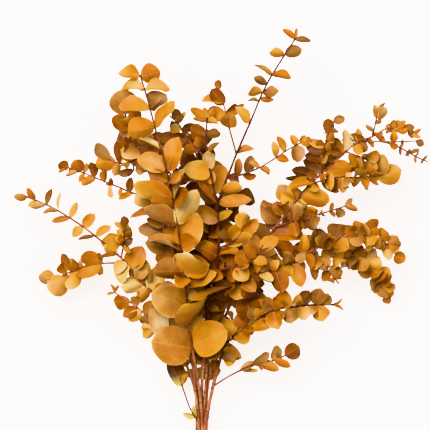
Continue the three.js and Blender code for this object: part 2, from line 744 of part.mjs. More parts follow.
function leafRoom(leaf) {
  const sides = leafSides(leaf);
  const out = 1 + leafClearance / (0.5 * leaf.width);
  const corners = [leafPoint(leaf, 0, 0, leafClearance), leafPoint(leaf, 0, 0, -leafClearance)];
  const edges = [];
  const triangles = [];
  for (let k = 0; k < sides; k += 1) {
    const angle = (2 * Math.PI * k) / sides;
    corners.push(leafPoint(leaf, angle, out, leafClearance), leafPoint(leaf, angle, out, -leafClearance));
    const top = 2 + 2 * k;
    const next = 2 + 2 * ((k + 1) % sides);
    edges.push([0, top], [1, top + 1], [top, next], [top + 1, next + 1], [top, top + 1]);
    triangles.push([0, top, next], [1, top + 1, next + 1], [top, top + 1, next], [next, next + 1, top + 1]);
  }
  return bodyOf(corners, edges, triangles, null);
}

function branchBodies(branch, owner) {
  const bodies = [];
  const { sides } = branch;
  for (let i = 0; i + 1 < branch.points.length; i += 1) {
    const corners = [
      ...branchRing(branch, i, branchRadius(branch, i)),
      ...branchRing(branch, i + 1, branchRadius(branch, i + 1)),
    ];
    const edges = [];
    const triangles = [];
    for (let k = 0; k < sides; k += 1) {
      const next = (k + 1) % sides;
      edges.push([k, next], [k, k + sides], [k + sides, next + sides]);
      triangles.push([k, next, k + sides], [next, next + sides, k + sides]);
    }
    bodies.push(bodyOf(corners, edges, triangles, owner));
  }
  return bodies;
}

// Whether a stretch between two points passes through a triangle.
const edgeLine = new THREE.Vector3();
const sideOne = new THREE.Vector3();
const sideTwo = new THREE.Vector3();
const slant = new THREE.Vector3();
const reach = new THREE.Vector3();
const turn = new THREE.Vector3();

function pierces(start, end, a, b, c) {
  edgeLine.subVectors(end, start);
  sideOne.subVectors(b, a);
  sideTwo.subVectors(c, a);
  slant.crossVectors(edgeLine, sideTwo);
  const scale = sideOne.dot(slant);
  if (Math.abs(scale) < 1e-9) return false;
  reach.subVectors(start, a);
  const first = reach.dot(slant) / scale;
  if (first < 0 || first > 1) return false;
  turn.crossVectors(reach, sideOne);
  const second = edgeLine.dot(turn) / scale;
  if (second < 0 || first + second > 1) return false;
  const along = sideTwo.dot(turn) / scale;
  return along >= 0 && along <= 1;
}

function edgesPierce(one, other) {
  return one.edges.some(([from, to]) =>
    other.triangles.some(([a, b, c]) =>
      pierces(one.corners[from], one.corners[to], other.corners[a], other.corners[b], other.corners[c]),
    ),
  );
}

// Only a leaf's foot may touch the branch that it grows on and the leaves rooted at the same place.
function sameRoot(owner, leaf) {
  if (owner.branch !== leaf.branch) return false;
  return owner.root === undefined || owner.root.distanceTo(leaf.root) < sameRootReach;
}

function isClear(leaf, bodies) {
  const room = leafRoom(leaf);
  const blade = leafBlade(leaf);
  if (room.box.min.z < tableClearance) return false;
  return !bodies.some((body) => {
    if (!room.box.intersectsBox(body.box)) return false;
    const mine = sameRoot(body.owner, leaf) ? blade : room;
    return edgesPierce(mine, body) || edgesPierce(body, mine);
  });
}

// What is tried in turn until a leaf is clear: more roll, more rise (degrees) and a smaller size.
const tries = [
  [0, 0, 1], [12, 0, 1], [-12, 0, 1], [0, 10, 1], [0, -10, 1], [24, 0, 1], [-24, 0, 1], [0, 20, 1],
  [0, -20, 1], [18, 18, 1], [-18, 18, 1], [18, -18, 1], [-18, -18, 1], [0, 32, 1], [0, -32, 1],
  [40, 0, 0.95], [-40, 0, 0.95], [30, 30, 0.9], [-30, 30, 0.9], [30, -30, 0.9], [-30, -30, 0.9],
  [0, 45, 0.9], [0, -45, 0.9], [60, 0, 0.85], [-60, 0, 0.85], [0, 0, 0.75], [25, 20, 0.75],
  [-25, -20, 0.75], [50, 40, 0.7], [-50, -40, 0.7], [0, 0, 0.6], [45, 0, 0.6], [-45, 0, 0.6],
];

function shapeLeaf(seed, change) {
  const [moreRoll, moreRise, size] = change;
  const direction = seed.direction.clone();
  direction.z += Math.tan(THREE.MathUtils.degToRad(moreRise));
  direction.normalize();
  direction.z = THREE.MathUtils.clamp(direction.z, -steepest, steepest);
  direction.normalize();
  const roll = THREE.MathUtils.degToRad(seed.roll + moreRoll);
  const foot = seed.root.clone().addScaledVector(direction, Math.max(seed.radius - rootDepth, 0));
  const frame = leafFrame(foot, direction, roll, seed.tangent);
  return { ...seed, frame, length: seed.length * size, width: seed.width * size };
}

function settle(seed, bodies) {
  for (const change of tries) {
    const leaf = shapeLeaf(seed, change);
    if (isClear(leaf, bodies)) {
      bodies.push(leafSheet(leaf, { branch: leaf.branch, root: leaf.root }));
      return leaf;
    }
  }
  return null;
}

// Leaves that are known by their place, and leaves that grow in crossed pairs.
function seedFromRow(row, piece, draw) {
  const [footX, footY, tipX, tipY, width, rise, roll] = row;
  const root = nearest(piece.branches, footX, footY);
  const rib = new THREE.Vector3(tipX - root.point.x, tipY - root.point.y, rise);
  const side = draw() < 0.5 ? -1 : 1;
  return {
    root: root.point, radius: root.radius, direction: rib.clone().normalize(), tangent: root.tangent,
    length: rib.length(), width, roll: roll * side, branch: piece.branches[root.index],
    cup: mix(0.05, 0.4, draw()), bend: mix(-0.2, 0.08, draw()), phase: 2 * Math.PI * draw(),
  };
}

function seedsFromSprout(sprout, piece, draw) {
  const [index, from, to, pairs, startLength, endLength, startShape, endShape] = sprout;
  const branch = piece.branches[index];
  const seeds = [];
  const turned = 90 * draw();
  for (let k = 0; k < pairs; k += 1) {
    const share = (k + 0.5) / pairs;
    const { point, tangent, radius } = placeAt(branch, mix(from, to, share));
    const side = tangent.clone().cross(up).normalize();
    const top = side.clone().cross(tangent);
    const around = THREE.MathUtils.degToRad(turned + 90 * k + mix(-20, 20, draw()));
    for (const half of [0, Math.PI]) {
      const radial = side.clone().multiplyScalar(Math.cos(around + half))
        .addScaledVector(top, Math.sin(around + half));
      const lean = THREE.MathUtils.degToRad(mix(60, 88, draw()));
      const direction = tangent.clone().multiplyScalar(Math.cos(lean)).addScaledVector(radial, Math.sin(lean));
      const length = mix(startLength, endLength, share) * mix(0.85, 1.15, draw());
      const width = length * mix(startShape, endShape, share) * mix(0.9, 1.1, draw());
      const roll = mix(-45, 45, draw());
      seeds.push({
        root: point, radius, direction, tangent, length, width, roll, branch,
        cup: mix(0.05, 0.4, draw()), bend: mix(-0.2, 0.08, draw()), phase: 2 * Math.PI * draw(),
      });
    }
  }
  return seeds;
}

// A leaf that lies flat on the table.
function flatLeaf(row, piece) {
  const [footX, footY, tipX, tipY, width] = row;
  const root = nearest(piece.branches, footX, footY);
  const foot = new THREE.Vector3(root.point.x, root.point.y, leafThickness / 2);
  const direction = new THREE.Vector3(tipX - foot.x, tipY - foot.y, 0);
  const length = direction.length();
  const frame = leafFrame(foot, direction.normalize(), 0, up);
  return {
    frame, length, width, root: root.point, branch: piece.branches[root.index],
    cup: 0, bend: 0, phase: 0,
  };
}

const pieces = stems.map((stem) => ({ stem, branches: growBranches(stem), leaves: [] }));
const bodies = [];
for (const piece of pieces) {
  for (const branch of piece.branches) bodies.push(...branchBodies(branch, { branch }));
}
for (const piece of pieces) {
  for (const row of piece.stem.flat ?? []) {
    const leaf = flatLeaf(row, piece);
    bodies.push(leafSheet(leaf, { branch: leaf.branch, root: leaf.root }));
    piece.leaves.push(leaf);
  }
}
pieces.forEach((piece, index) => {
  const draw = seeded(1000 + index);
  for (const row of piece.stem.leaves) {
    const leaf = settle(seedFromRow(row, piece, draw), bodies);
    if (leaf) piece.leaves.push(leaf);
  }
});
pieces.forEach((piece, index) => {
  const draw = seeded(2000 + index);
  for (const sprout of piece.stem.sprouts) {
    for (const seed of seedsFromSprout(sprout, piece, draw)) {
      const leaf = settle(seed, bodies);
      if (leaf) piece.leaves.push(leaf);
    }
  }
});

function meshOf(name, solid, material) {
  const { vertProperties, triVerts } = solid.getMesh();
  const geometry = new THREE.BufferGeometry();
  geometry.setAttribute("position", new THREE.BufferAttribute(vertProperties, 3));
  geometry.setIndex(new THREE.BufferAttribute(triVerts, 1));
  geometry.computeVertexNormals();
  const mesh = new THREE.Mesh(geometry, material);
  mesh.name = name;
  return mesh;
}

function leafyStem(piece) {
  let solid = branchSolid(piece.branches[0]);
  for (const branch of piece.branches.slice(1)) solid = solid.add(branchSolid(branch));
  for (const leaf of piece.leaves) solid = solid.add(leafSolid(leaf));
  const material = new THREE.MeshStandardMaterial({
    color: piece.stem.colour, roughness: 0.7, metalness: 0, flatShading: true,
  });
  return meshOf(piece.stem.name, solid, material);
}

// The band follows the outline of the ten stems: a hexagon with round corners.
function bandOutline(offset) {
  const pitch = stemDiameter + stemGap;
  const radius = stemDiameter / 2 + offset;
  const rise = pitch * Math.sin(Math.PI / 3);
  const corners = [[1, -1], [1.5, 0], [1, 1], [-1, 1], [-1.5, 0], [-1, -1]];
  const points = [];
  const stepsPerCorner = 4;
  corners.forEach(([column, row], corner) => {
    for (let k = 0; k <= stepsPerCorner; k += 1) {
      const angle = ((corner - 1.5 + k / stepsPerCorner) * Math.PI) / 3;
      points.push(
        new THREE.Vector2(column * pitch + Math.cos(angle) * radius, row * rise + Math.sin(angle) * radius),
      );
    }
  });
  return points;
}

function elasticBand() {
  const shape = new THREE.Shape(bandOutline(stemGap + bandThickness));
  shape.holes.push(new THREE.Path(bandOutline(stemGap)));
  const geometry = new THREE.ExtrudeGeometry(shape, { depth: bandWidth, bevelEnabled: false });
  const material = new THREE.MeshStandardMaterial({ color: 0xc9a878, roughness: 0.6, metalness: 0 });
  const mesh = new THREE.Mesh(geometry, material);
  mesh.name = "elastic_band";
  mesh.rotation.x = Math.PI / 2 + Math.atan(bundleSlope);
  mesh.position.set(bundleX, bandWidth / 2, bundleHeight + (bundleSlope * bandWidth) / 2);
  return mesh;
}

const bunch = new THREE.Group();
for (const piece of pieces) bunch.add(leafyStem(piece));
bunch.add(elasticBand());

// The origin is the middle of the underside of everything.
bunch.updateMatrixWorld(true);
const extent = new THREE.Box3().setFromObject(bunch, true);
bunch.position.set(
  -(extent.min.x + extent.max.x) / 2,
  -(extent.min.y + extent.max.y) / 2,
  -extent.min.z,
);

export default bunch;
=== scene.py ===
import math

import bpy
import numpy as np
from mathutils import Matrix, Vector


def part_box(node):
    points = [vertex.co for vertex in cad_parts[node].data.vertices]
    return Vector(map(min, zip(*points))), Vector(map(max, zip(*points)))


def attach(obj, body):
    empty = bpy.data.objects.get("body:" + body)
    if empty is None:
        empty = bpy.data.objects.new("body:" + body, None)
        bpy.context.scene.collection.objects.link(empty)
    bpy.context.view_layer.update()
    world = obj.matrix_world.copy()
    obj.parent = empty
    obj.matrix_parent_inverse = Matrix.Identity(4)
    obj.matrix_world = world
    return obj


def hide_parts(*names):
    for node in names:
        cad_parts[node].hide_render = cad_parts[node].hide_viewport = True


# A bunch of dried eucalyptus that lies on a pale floor, seen from above.
# It grows by rule in millimetres, with y = 0 at the band, and its meshes are in metres.
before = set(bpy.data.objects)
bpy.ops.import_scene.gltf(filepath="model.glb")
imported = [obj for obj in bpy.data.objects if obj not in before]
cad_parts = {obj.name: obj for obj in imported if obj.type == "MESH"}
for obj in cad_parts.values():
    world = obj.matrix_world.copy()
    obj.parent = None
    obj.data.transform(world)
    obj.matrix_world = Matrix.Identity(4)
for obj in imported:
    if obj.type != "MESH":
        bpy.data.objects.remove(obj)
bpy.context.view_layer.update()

bundle = {
    "stemDiameter": 3.9,  # where the stems are held together
    "stemGap": 0.4,
    "middle": -1.5,  # x of the held stems
    "height": 13.6,  # of their middle over the floor, at the band
    "slope": 0.13,  # how fast they rise from their cut ends
    "top": 50,  # they lie side by side up to here
    "cutEnd": -62,  # where the longest was cut
    "tipRadius": 1.0,
    "twigRadius": 1.1,
    "twigTipRadius": 0.75,
    "tipMargin": 1.2,  # from a branch's end to the last leaf's foot
    "stemSides": 5, "twigSides": 4,  # of the solid part
}
metre = 1000
pitch = bundle["stemDiameter"] + bundle["stemGap"]  # from one slot to the next
layer = pitch * math.sin(math.pi / 3)  # from one layer of slots to the next

# A leaf's tone is its own colour and also painted light and shade: some leaves deep in the bunch have
# darker tones for the shade there, and some that turn away from the lamp have paler ones.
# Slots: three stems in front, four in the middle and three at the back. Routes and twigs are
# lines of points, and "freshTwig" is the branch that is still green.
# A leaf: foot x, foot y, tip x, tip y, width, rise of the tip, roll in degrees,
# tone from 1 (dark brown) to 9 (pale cream). A flat leaf stops at its width.
# A sprout places leaves in crossed pairs: branch, from, to (shares of its length), pairs,
# leaf length at its start and its end, width over length at its start and its end.
# The solid part has the flat leaves, the leaves and the sprouts. The finer leaves and the
# fill, which is more sprouts, are added here.
stems = [{
    "name": "left_tall_stem", "slot": (0, 1), "cut": 4, "tone": 0.35, "fillTone": 0.45,
    "route": [
        (-6.5, 100, 37), (-13, 138, 52), (-17, 168, 64), (-21, 212, 84), (-27, 262, 106), (-33, 300, 120),
        (-43, 350, 133), (-57, 402, 140), (-66, 436, 139), (-75, 465, 135),
    ],
    "leaves": [
        (-75, 465, -100, 467, 17, 3, 20, 6.5), (-76, 462, -52, 468, 25, 5, 10, 4),
        (-69, 448, -96, 449, 21, -4, 42, 7), (-69, 448, -40, 449, 19, 6, 45, 7),
        (-63, 424, -98, 431, 27, 5, 42, 6.5), (-63, 424, -44, 441, 25, -8, 30, 5.5),
        (-57, 402, -37, 434, 26, 8, 58, 6), (-57, 402, -88, 398, 28, 9, 15, 6),
        (-49, 376, -87, 398, 26, 4, 78, 8.5), (-43, 350, -31, 389, 27, 9, 12, 6),
        (-44, 352, -77, 368, 25, -4, 20, 6), (-40, 334, -62, 346, 22, -14, 30, 3.5),
        (-36, 318, -25, 353, 26, 9, 58, 7), (-36, 318, -82, 333, 30, 8, 38, 6.5),
        (-31, 287, -8, 327, 29, 9, 30, 8.5), (-31, 288, -70, 306, 27, 4, 38, 4.5),
        (-26, 256, -8, 298, 34, 12, 6, 7), (-26, 256, -65, 272, 30, 5, 72, 6.5),
        (-22, 226, -12, 248, 42, 28, 0, 7), (-20, 213, 16, 225, 30, 3, 50, 4.5),
        (-19, 196, -4, 203, 16, 6, 20, 7), (-15, 167, -4, 195, 54, 30, 60, 6.5),
        (-13, 140, 29, 158, 42, 18, -8, 5), (-12, 137, -59, 145, 48, 14, 0, 4.6),
        (-18, 188, -60, 203, 40, 10, 10, 5),
    ],
    "sprouts": [
        (0, 0.62, 0.8, 1, 31, 27, 0.85, 0.75), (0, 0.5, 0.6, 1, 36, 32, 0.9, 0.85),
    ],
    "fill": [
        (0, 0.42, 0.8, 5, 26, 22, 0.9, 0.8),
    ],
}, {
    "name": "low_front_stem", "slot": (-1, 1), "cut": 11, "tone": 0.7, "fillTone": 0.35, "freshTwig": 1,
    "route": [
        (-14, 100, 37), (-28, 130, 47), (-47, 150, 55), (-57, 160, 58), (-70, 178, 60), (-84, 190, 58),
        (-98, 199, 54), (-108, 205, 50),
    ],
    "twigs": [
        [(-7.5, 47, 24), (-15, 62, 29), (-21, 78, 33), (-25, 90, 35), (-28, 102, 36)],
        [(-14, 100, 37), (-17.5, 108, 41), (-19, 118, 44)],
    ],
    "leaves": [
        (-88, 192, -108, 195, 18, 5, 15, 3.5), (-79, 187, -96, 175, 14, 4, 10, 5),
        (-50, 152, -57, 188, 25, 14, 10, 8), (-57, 158, -74, 164, 15, 5, 20, 8),
        (-108, 205, -111, 215, 4.5, 1, 20, 5), (-107, 204, -102, 213, 4.5, 2, 20, 5),
        (-108, 204, -116, 202, 5, 0, 25, 5), (-25, 91, -41, 121, 22, 3, 12, 3.5),
        (-25, 92, -19, 106, 9, 4, 20, 5), (-10, 52, -24, 57, 9, 2, 15, 7),
        (-10, 52, -11, 68, 7, 5, 30, 7),
    ],
    "finer": [
        (-70, 179, -61, 194, 14, 3, 10, 4), (-74, 181, -88, 171, 14, 4, 10, 7.5),
        (-57, 161, -72, 151, 13, 4, 10, 8), (-62, 168, -77, 174, 12, 3, 10, 5),
        (-80, 187, -84, 200, 13, 4, 10, 6),
    ],
    "fill": [
        (0, 0.62, 0.9, 2, 15, 12, 0.8, 0.8),
    ],
}, {
    "name": "lower_right_stem", "slot": (1, 1), "cut": 0, "tone": 0.25, "fillTone": 0.45,
    "route": [
        (9.5, 80, 31), (13, 97, 35), (18, 114, 40), (23, 130, 46), (30, 145, 53), (42, 157, 61),
        (56, 166, 68), (72, 177, 75), (90, 185, 79), (110, 188, 80), (132, 190, 78), (157, 190, 73),
    ],
    "twigs": [
        [
            (11, 90, 33), (25, 99, 36), (45, 110, 41), (60, 117, 44), (75, 120, 45), (88, 123, 44),
            (105, 131, 40),
        ],
    ],
    "leaves": [
        (36, 151, 28, 172, 19, 8, 10, 5.5), (42, 157, 53, 146, 22, 6, 10, 5),
        (52, 164, 80, 165, 18, 8, 15, 7), (60, 168, 52, 198, 30, -12, 5, 3),
        (72, 177, 78, 193, 18, 7, 10, 6.5), (84, 182, 90, 162, 19, 6, 10, 5),
        (92, 186, 99, 206, 24, 6, 10, 3.5), (102, 187, 107, 168, 21, 4, 10, 6),
        (111, 188, 115, 201, 13, 5, 15, 6.5), (118, 189, 127, 207, 17, 2, 15, 3),
        (118, 189, 123, 173, 19, 6, 15, 6.5), (134, 190, 141, 209, 20, 4, 5, 4.5),
        (138, 190, 144, 171, 21, 5, 5, 7), (146, 190, 156, 199, 10, 5, 30, 4),
        (157, 190, 168, 196, 5, 2, 40, 5), (157, 190, 170, 185, 5, -2, 40, 5),
        (23, 129, 41, 128, 24, 4, 10, 6), (14, 104, 13, 125, 12, 6, 15, 3),
        (45, 110, 62, 121, 11, 4, 20, 5), (46, 110, 66, 108, 8, -2, 45, 5),
        (60, 117, 80, 131, 14, 4, 15, 5), (66, 118, 92, 112, 13, 3, 15, 6),
        (84, 122, 92, 141, 13, 3, 10, 5), (86, 122, 106, 116, 11, 2, 20, 4.5),
        (99, 128, 117, 139, 22, 3, 5, 4),
    ],
    "sprouts": [
        (0, 0.66, 0.9, 1, 24, 18, 0.9, 0.8),
    ],
    "finer": [
        (30, 146, 22, 160, 13, 5, 10, 4.5), (50, 162, 40, 176, 16, 2, 10, 3),
        (66, 173, 56, 184, 17, -3, 10, 3.5), (78, 180, 68, 196, 17, 5, 10, 5),
        (97, 186, 86, 200, 17, 4, 10, 4), (110, 188, 100, 176, 14, 3, 10, 5),
        (126, 190, 134, 178, 13, 3, 10, 6), (142, 190, 150, 203, 13, 3, 10, 4.5),
    ],
    "fill": [
        (0, 0.52, 0.97, 7, 20, 13, 0.85, 0.8), (1, 0.5, 0.95, 2, 12, 10, 0.7, 0.8),
    ],
}, {
    "name": "upper_left_stem", "slot": (-1.5, 0), "cut": 7, "tone": 0.6, "fillTone": 0.6,
    "route": [
        (-10, 100, 31), (-16, 140, 45), (-23, 180, 58), (-31, 212, 69), (-38, 240, 78), (-44, 266, 85),
        (-55, 315, 95), (-67, 355, 102), (-85, 397, 106), (-98, 432, 105),
    ],
    "twigs": [
        [
            (-57, 322, 96), (-83, 324, 96), (-100, 331, 96), (-118, 338, 94), (-142, 348, 90),
            (-165, 356, 84),
        ],
        [(-73, 370, 104), (-86, 362, 103), (-98, 360, 101), (-112, 364, 98), (-120, 370, 94)],
        [(-84, 362, 103), (-83, 352, 108), (-90, 346, 112)],
    ],
    "leaves": [
        (-92, 418, -97, 448, 33, 4, 5, 5.5), (-90, 408, -75, 422, 16, 4, 10, 4.5),
        (-88, 403, -110, 412, 20, 5, 15, 5), (-81, 386, -103, 399, 26, -8, 10, 2.5),
        (-56, 320, -85, 313, 20, 8, 10, 6.5), (-52, 301, -87, 298, 20, 4, 50, 3.5),
        (-46, 274, -73, 285, 21, 6, 15, 2), (-42, 257, -68, 265, 21, 8, 10, 3),
        (-36, 231, -47, 263, 25, -7, 5, 2.5), (-112, 364, -130, 383, 17, 3, 10, 4.5),
        (-104, 361, -128, 361, 20, 3, 15, 5), (-99, 360, -104, 387, 11, 5, 10, 2.5),
        (-88, 362, -98, 381, 9, 5, 25, 5.5), (-84, 352, -101, 346, 11, 3, 20, 2),
        (-161, 355, -174, 359, 14, 2, 10, 3), (-146, 350, -155, 363, 18, 4, 5, 3.5),
        (-130, 343, -134, 362, 12, 4, 10, 3), (-129, 342, -146, 335, 11, 2, 15, 6.5),
        (-118, 338, -119, 353, 10, 3, 20, 3.5), (-112, 335, -108, 319, 12, 6, 58, 7.5),
        (-88, 326, -86, 343, 11, 4, 15, 2.5), (-85, 324, -101, 317, 8, 4, 15, 5),
    ],
    "sprouts": [
        (0, 0.45, 0.97, 4, 34, 26, 0.9, 0.85), (1, 0.3, 0.95, 2, 15, 12, 0.7, 0.6),
    ],
    "finer": [
        (-150, 351, -165, 344, 6, 1, 20, 5.5), (-143, 348, -145, 336, 5, 1, 20, 3.5),
        (-165, 356, -174, 349, 5, 1, 20, 5), (-160, 354, -158, 347, 6, 1, 20, 5),
        (-78, 381, -104, 384, 22, -10, 10, 2), (-86, 400, -102, 392, 18, -10, 10, 3.5),
        (-92, 414, -110, 424, 20, -3, 10, 4), (-80, 384, -66, 392, 18, -8, 10, 2.5),
        (-72, 366, -54, 378, 16, -6, 10, 3), (-67, 355, -82, 352, 16, -4, 10, 4.5),
        (-48, 284, -66, 296, 20, -8, 10, 3), (-98, 331, -100, 320, 6, 2, 20, 4),
    ],
    "fill": [
        (0, 0.34, 0.97, 11, 30, 24, 0.9, 0.8), (2, 0.2, 0.9, 3, 16, 14, 0.7, 0.7),
    ],
}, {
    "name": "centre_stem", "slot": (-0.5, 0), "cut": 13, "tone": 0.25, "fillTone": 0.35,
    "route": [
        (-1, 100, 31), (3, 140, 43), (8, 180, 57), (14, 218, 71), (19, 262, 86), (18, 300, 95),
        (12, 335, 100), (6, 365, 101), (4, 393, 100), (5, 415, 97),
    ],
    "twigs": [
        [(17, 230, 75), (32, 235, 86), (51, 238, 94), (62, 247, 98), (72, 262, 100)],
        [(19, 258, 85), (36, 266, 94), (47, 279, 99), (49, 290, 101)],
        [(11, 198, 63), (34, 212, 76), (60, 225, 85), (82, 233, 88), (108, 240, 84), (120, 243, 82)],
        [(7, 360, 101), (-6, 376, 103), (-20, 390, 104), (-30, 408, 103), (-40, 417, 100)],
    ],
    "leaves": [
        (4, 394, -15, 402, 20, 5, 10, 3.5), (4, 393, 22, 398, 13, 5, 15, 2.5),
        (5, 412, -14, 426, 13, 3, 20, 6), (5, 415, 13, 425, 8, 2, 20, 5),
        (7, 352, 6, 375, 16, 10, 5, 6.5), (5, 374, 18, 385, 10, 5, 40, 3),
        (9, 347, -22, 354, 23, 7, 10, 6), (48, 281, 48, 302, 18, 6, 5, 8),
        (47, 278, 65, 293, 16, 4, 10, 4.5), (38, 268, 59, 276, 12, 8, 15, 7),
        (27, 263, 52, 286, 26, -7, 5, 6.5), (63, 248, 52, 277, 24, 6, 10, 5),
        (70, 257, 88, 271, 18, 4, 10, 5.5), (66, 252, 88, 254, 12, 3, 25, 4),
        (61, 246, 76, 240, 16, 5, 10, 5), (40, 236, 54, 222, 23, 8, 5, 7),
        (34, 212, 47, 198, 19, 6, 5, 6), (53, 221, 67, 196, 26, -9, 5, 2.5),
        (68, 228, 84, 219, 12, 5, 20, 8), (86, 234, 96, 206, 25, 3, 5, 4),
        (110, 240, 117, 211, 19, 3, 10, 5), (-35, 412, -30, 425, 13, 4, 10, 4),
        (-30, 408, -22, 422, 8, 3, 30, 6), (-28, 403, -39, 398, 13, 4, 15, 7),
        (-26, 400, -8, 404, 12, -5, 20, 2), (-18, 388, -51, 390, 19, -9, 10, 3.5),
        (-5, 375, -28, 371, 14, -4, 45, 2), (33, 211, -22, 199, 36, 30, 75, 6),
    ],
    "sprouts": [
        (0, 0.4, 0.7, 3, 34, 28, 0.85, 0.75), (1, 0.3, 0.98, 2, 22, 17, 0.85, 0.8),
        (3, 0.2, 0.95, 2, 24, 18, 0.85, 0.8),
    ],
    "finer": [
        (15, 312, -9, 335, 13, 4, 55, 5), (19, 290, -8, 307, 20, -3, 10, 4.5),
        (12, 335, 2, 358, 14, -6, 10, 5), (80, 233, 92, 244, 12, 4, 10, 5.5),
        (100, 238, 104, 252, 13, 4, 10, 4.5), (92, 237, 108, 228, 12, 3, 10, 6.5),
        (112, 241, 122, 250, 12, 3, 10, 6), (45, 217, 38, 232, 14, 5, 10, 5),
        (76, 232, 66, 246, 14, 5, 5, 5.5), (56, 240, 44, 250, 18, 3, 10, 3),
        (4, 410, 18, 409, 10, 2, 40, 6), (5, 385, -8, 390, 12, 2, 10, 3), (5, 411, -12, 413, 9, 3, 40, 6),
        (5, 413, 2, 427, 9, 3, 20, 6),
    ],
    "fill": [
        (0, 0.37, 0.72, 7, 28, 22, 0.9, 0.8), (1, 0.2, 0.95, 4, 22, 17, 0.85, 0.8),
        (3, 0.15, 0.9, 5, 22, 17, 0.9, 0.8), (4, 0.2, 0.95, 3, 16, 12, 0.8, 0.8),
    ],
}, {
    "name": "right_tall_stem", "slot": (0.5, 0), "cut": 2, "tone": 0.3, "fillTone": 0.35,
    "route": [
        (3.5, 100, 28), (4, 160, 40), (3, 220, 52), (6, 275, 64), (13, 300, 70), (23, 326, 76),
        (40, 371, 85), (57, 410, 90), (75, 452, 94), (98, 490, 95), (111, 510, 95),
    ],
    "twigs": [
        [(40, 371, 85), (36, 386, 90), (31, 404, 94), (27, 422, 96), (19, 450, 96)],
        [(29, 343, 79), (45, 346, 87), (68, 355, 92), (88, 367, 95), (103, 377, 96), (118, 385, 96)],
    ],
    "leaves": [
        (111, 510, 96, 521, 9, 2, 20, 5), (111, 510, 129, 507, 9, 2, 20, 3.5),
        (111, 509, 112, 522, 5, 2, 20, 5), (98, 490, 80, 493, 14, 2, 35, 6),
        (98, 490, 118, 497, 16, 3, 10, 3.5), (83, 466, 62, 476, 13, 2, 55, 6.5),
        (83, 466, 106, 464, 14, 3, 30, 4.5), (77, 455, 62, 462, 11, 3, 10, 4),
        (72, 445, 54, 447, 15, 3, 35, 6), (72, 445, 91, 444, 15, 3, 35, 4),
        (69, 438, 85, 433, 9, 3, 20, 4), (67, 435, 53, 436, 9, 2, 55, 5),
        (56, 408, 38, 426, 16, 4, 40, 7), (41, 373, 20, 381, 13, 5, 50, 6.5),
        (41, 373, 61, 378, 13, 5, 48, 5), (23, 326, -3, 348, 26, 7, 15, 5.5),
        (23, 326, 46, 332, 19, 7, 30, 6.5), (27, 337, 12, 356, 24, -12, 10, 5),
        (31, 402, 33, 422, 20, 5, 5, 3), (28, 418, 43, 430, 14, 4, 10, 4),
        (28, 417, 50, 432, 9, -4, 30, 3.5), (29, 414, -3, 423, 20, 4, 10, 4),
        (25, 430, 10, 449, 18, 3, 10, 3), (19, 449, 18, 460, 10, 2, 10, 4),
        (24, 434, -2, 438, 13, -4, 25, 6.5), (68, 355, 55, 361, 9, 3, 30, 6),
        (68, 355, 81, 348, 9, 3, 30, 4), (88, 367, 84, 386, 10, 4, 20, 7),
        (88, 367, 103, 361, 10, 3, 20, 5.5), (113, 382, 113, 361, 18, 3, 10, 4.5),
        (118, 385, 131, 388, 12, 3, 10, 5.5), (111, 381, 107, 394, 10, 3, 20, 7),
        (52, 348, 59, 370, 15, -6, 10, 2.5), (40, 346, 44, 365, 11, 4, 15, 3),
        (48, 346, 64, 343, 10, -3, 20, 3.5),
    ],
    "sprouts": [
        (0, 0.38, 0.6, 3, 34, 28, 0.85, 0.75),
    ],
    "finer": [
        (18, 313, 57, 317, 15, -5, 10, 5), (18, 314, -2, 326, 16, -12, 10, 2),
        (22, 322, 44, 320, 16, -12, 10, 2), (9, 287, 33, 303, 15, 10, 60, 7),
        (30, 345, 50, 333, 16, -14, 5, 2.5), (40, 372, 30, 366, 14, -5, 20, 4),
        (12, 296, 38, 288, 20, -12, 5, 1.5), (6, 276, 30, 272, 22, -8, 5, 2),
        (98, 374, 89, 392, 10, 3, 10, 5), (117, 384, 122, 394, 11, 2, 10, 6),
    ],
    "fill": [
        (0, 0.3, 0.6, 8, 28, 24, 0.9, 0.8),
    ],
}, {
    "name": "right_drooping_stem", "slot": (1.5, 0), "cut": 9, "tone": 0.62, "fillTone": 0.5,
    "route": [
        (15, 100, 26), (28, 145, 36), (52, 195, 50), (80, 232, 63), (108, 248, 71), (130, 255, 76),
        (145, 262, 79), (160, 269, 81), (175, 274, 81), (190, 276, 78), (205, 273, 72), (218, 266, 64),
        (228, 257, 55), (235, 247, 45),
    ],
    "twigs": [
        [
            (108, 248, 71), (122, 249, 68), (140, 248, 65), (160, 247, 62), (178, 246, 58),
            (195, 242, 53), (206, 232, 46), (214, 220, 38), (219, 210, 31), (223, 199, 24),
        ],
        [(134, 249, 66), (144, 239, 66), (153, 228, 63), (164, 215, 58)],
    ],
    "leaves": [
        (135, 257, 141, 280, 27, 7, 5, 3), (158, 268, 165, 286, 27, 6, 5, 4),
        (168, 272, 186, 262, 21, 5, 10, 4.5), (186, 276, 193, 287, 26, 5, 5, 6),
        (199, 275, 206, 283, 22, 4, 5, 5.5), (212, 270, 222, 277, 20, 3, 5, 5),
        (222, 263, 236, 268, 19, 2, 10, 5), (232, 252, 243, 242, 17, 0, 5, 6),
        (226, 258, 222, 244, 14, 2, 15, 8), (158, 247, 168, 261, 20, 5, 10, 7.5),
        (176, 246, 193, 260, 24, 5, 5, 4.5), (194, 243, 208, 256, 19, 4, 10, 5.5),
        (194, 243, 215, 236, 20, 4, 10, 6), (206, 232, 187, 228, 18, 4, 15, 5),
        (209, 229, 227, 226, 20, 3, 5, 6), (217, 214, 203, 208, 18, 3, 5, 5),
        (218, 213, 233, 209, 14, 2, 15, 6), (222, 201, 225, 190, 12, 0, 10, 5.5),
        (140, 248, 153, 240, 15, 4, 10, 6), (132, 249, 135, 219, 12, -5, 15, 4),
        (145, 248, 152, 227, 15, 3, 15, 3.5), (154, 228, 169, 229, 14, 3, 10, 5),
        (100, 244, 124, 264, 17, -6, 10, 2.5), (117, 251, 123, 273, 13, 6, 15, 6.5),
    ],
    "sprouts": [
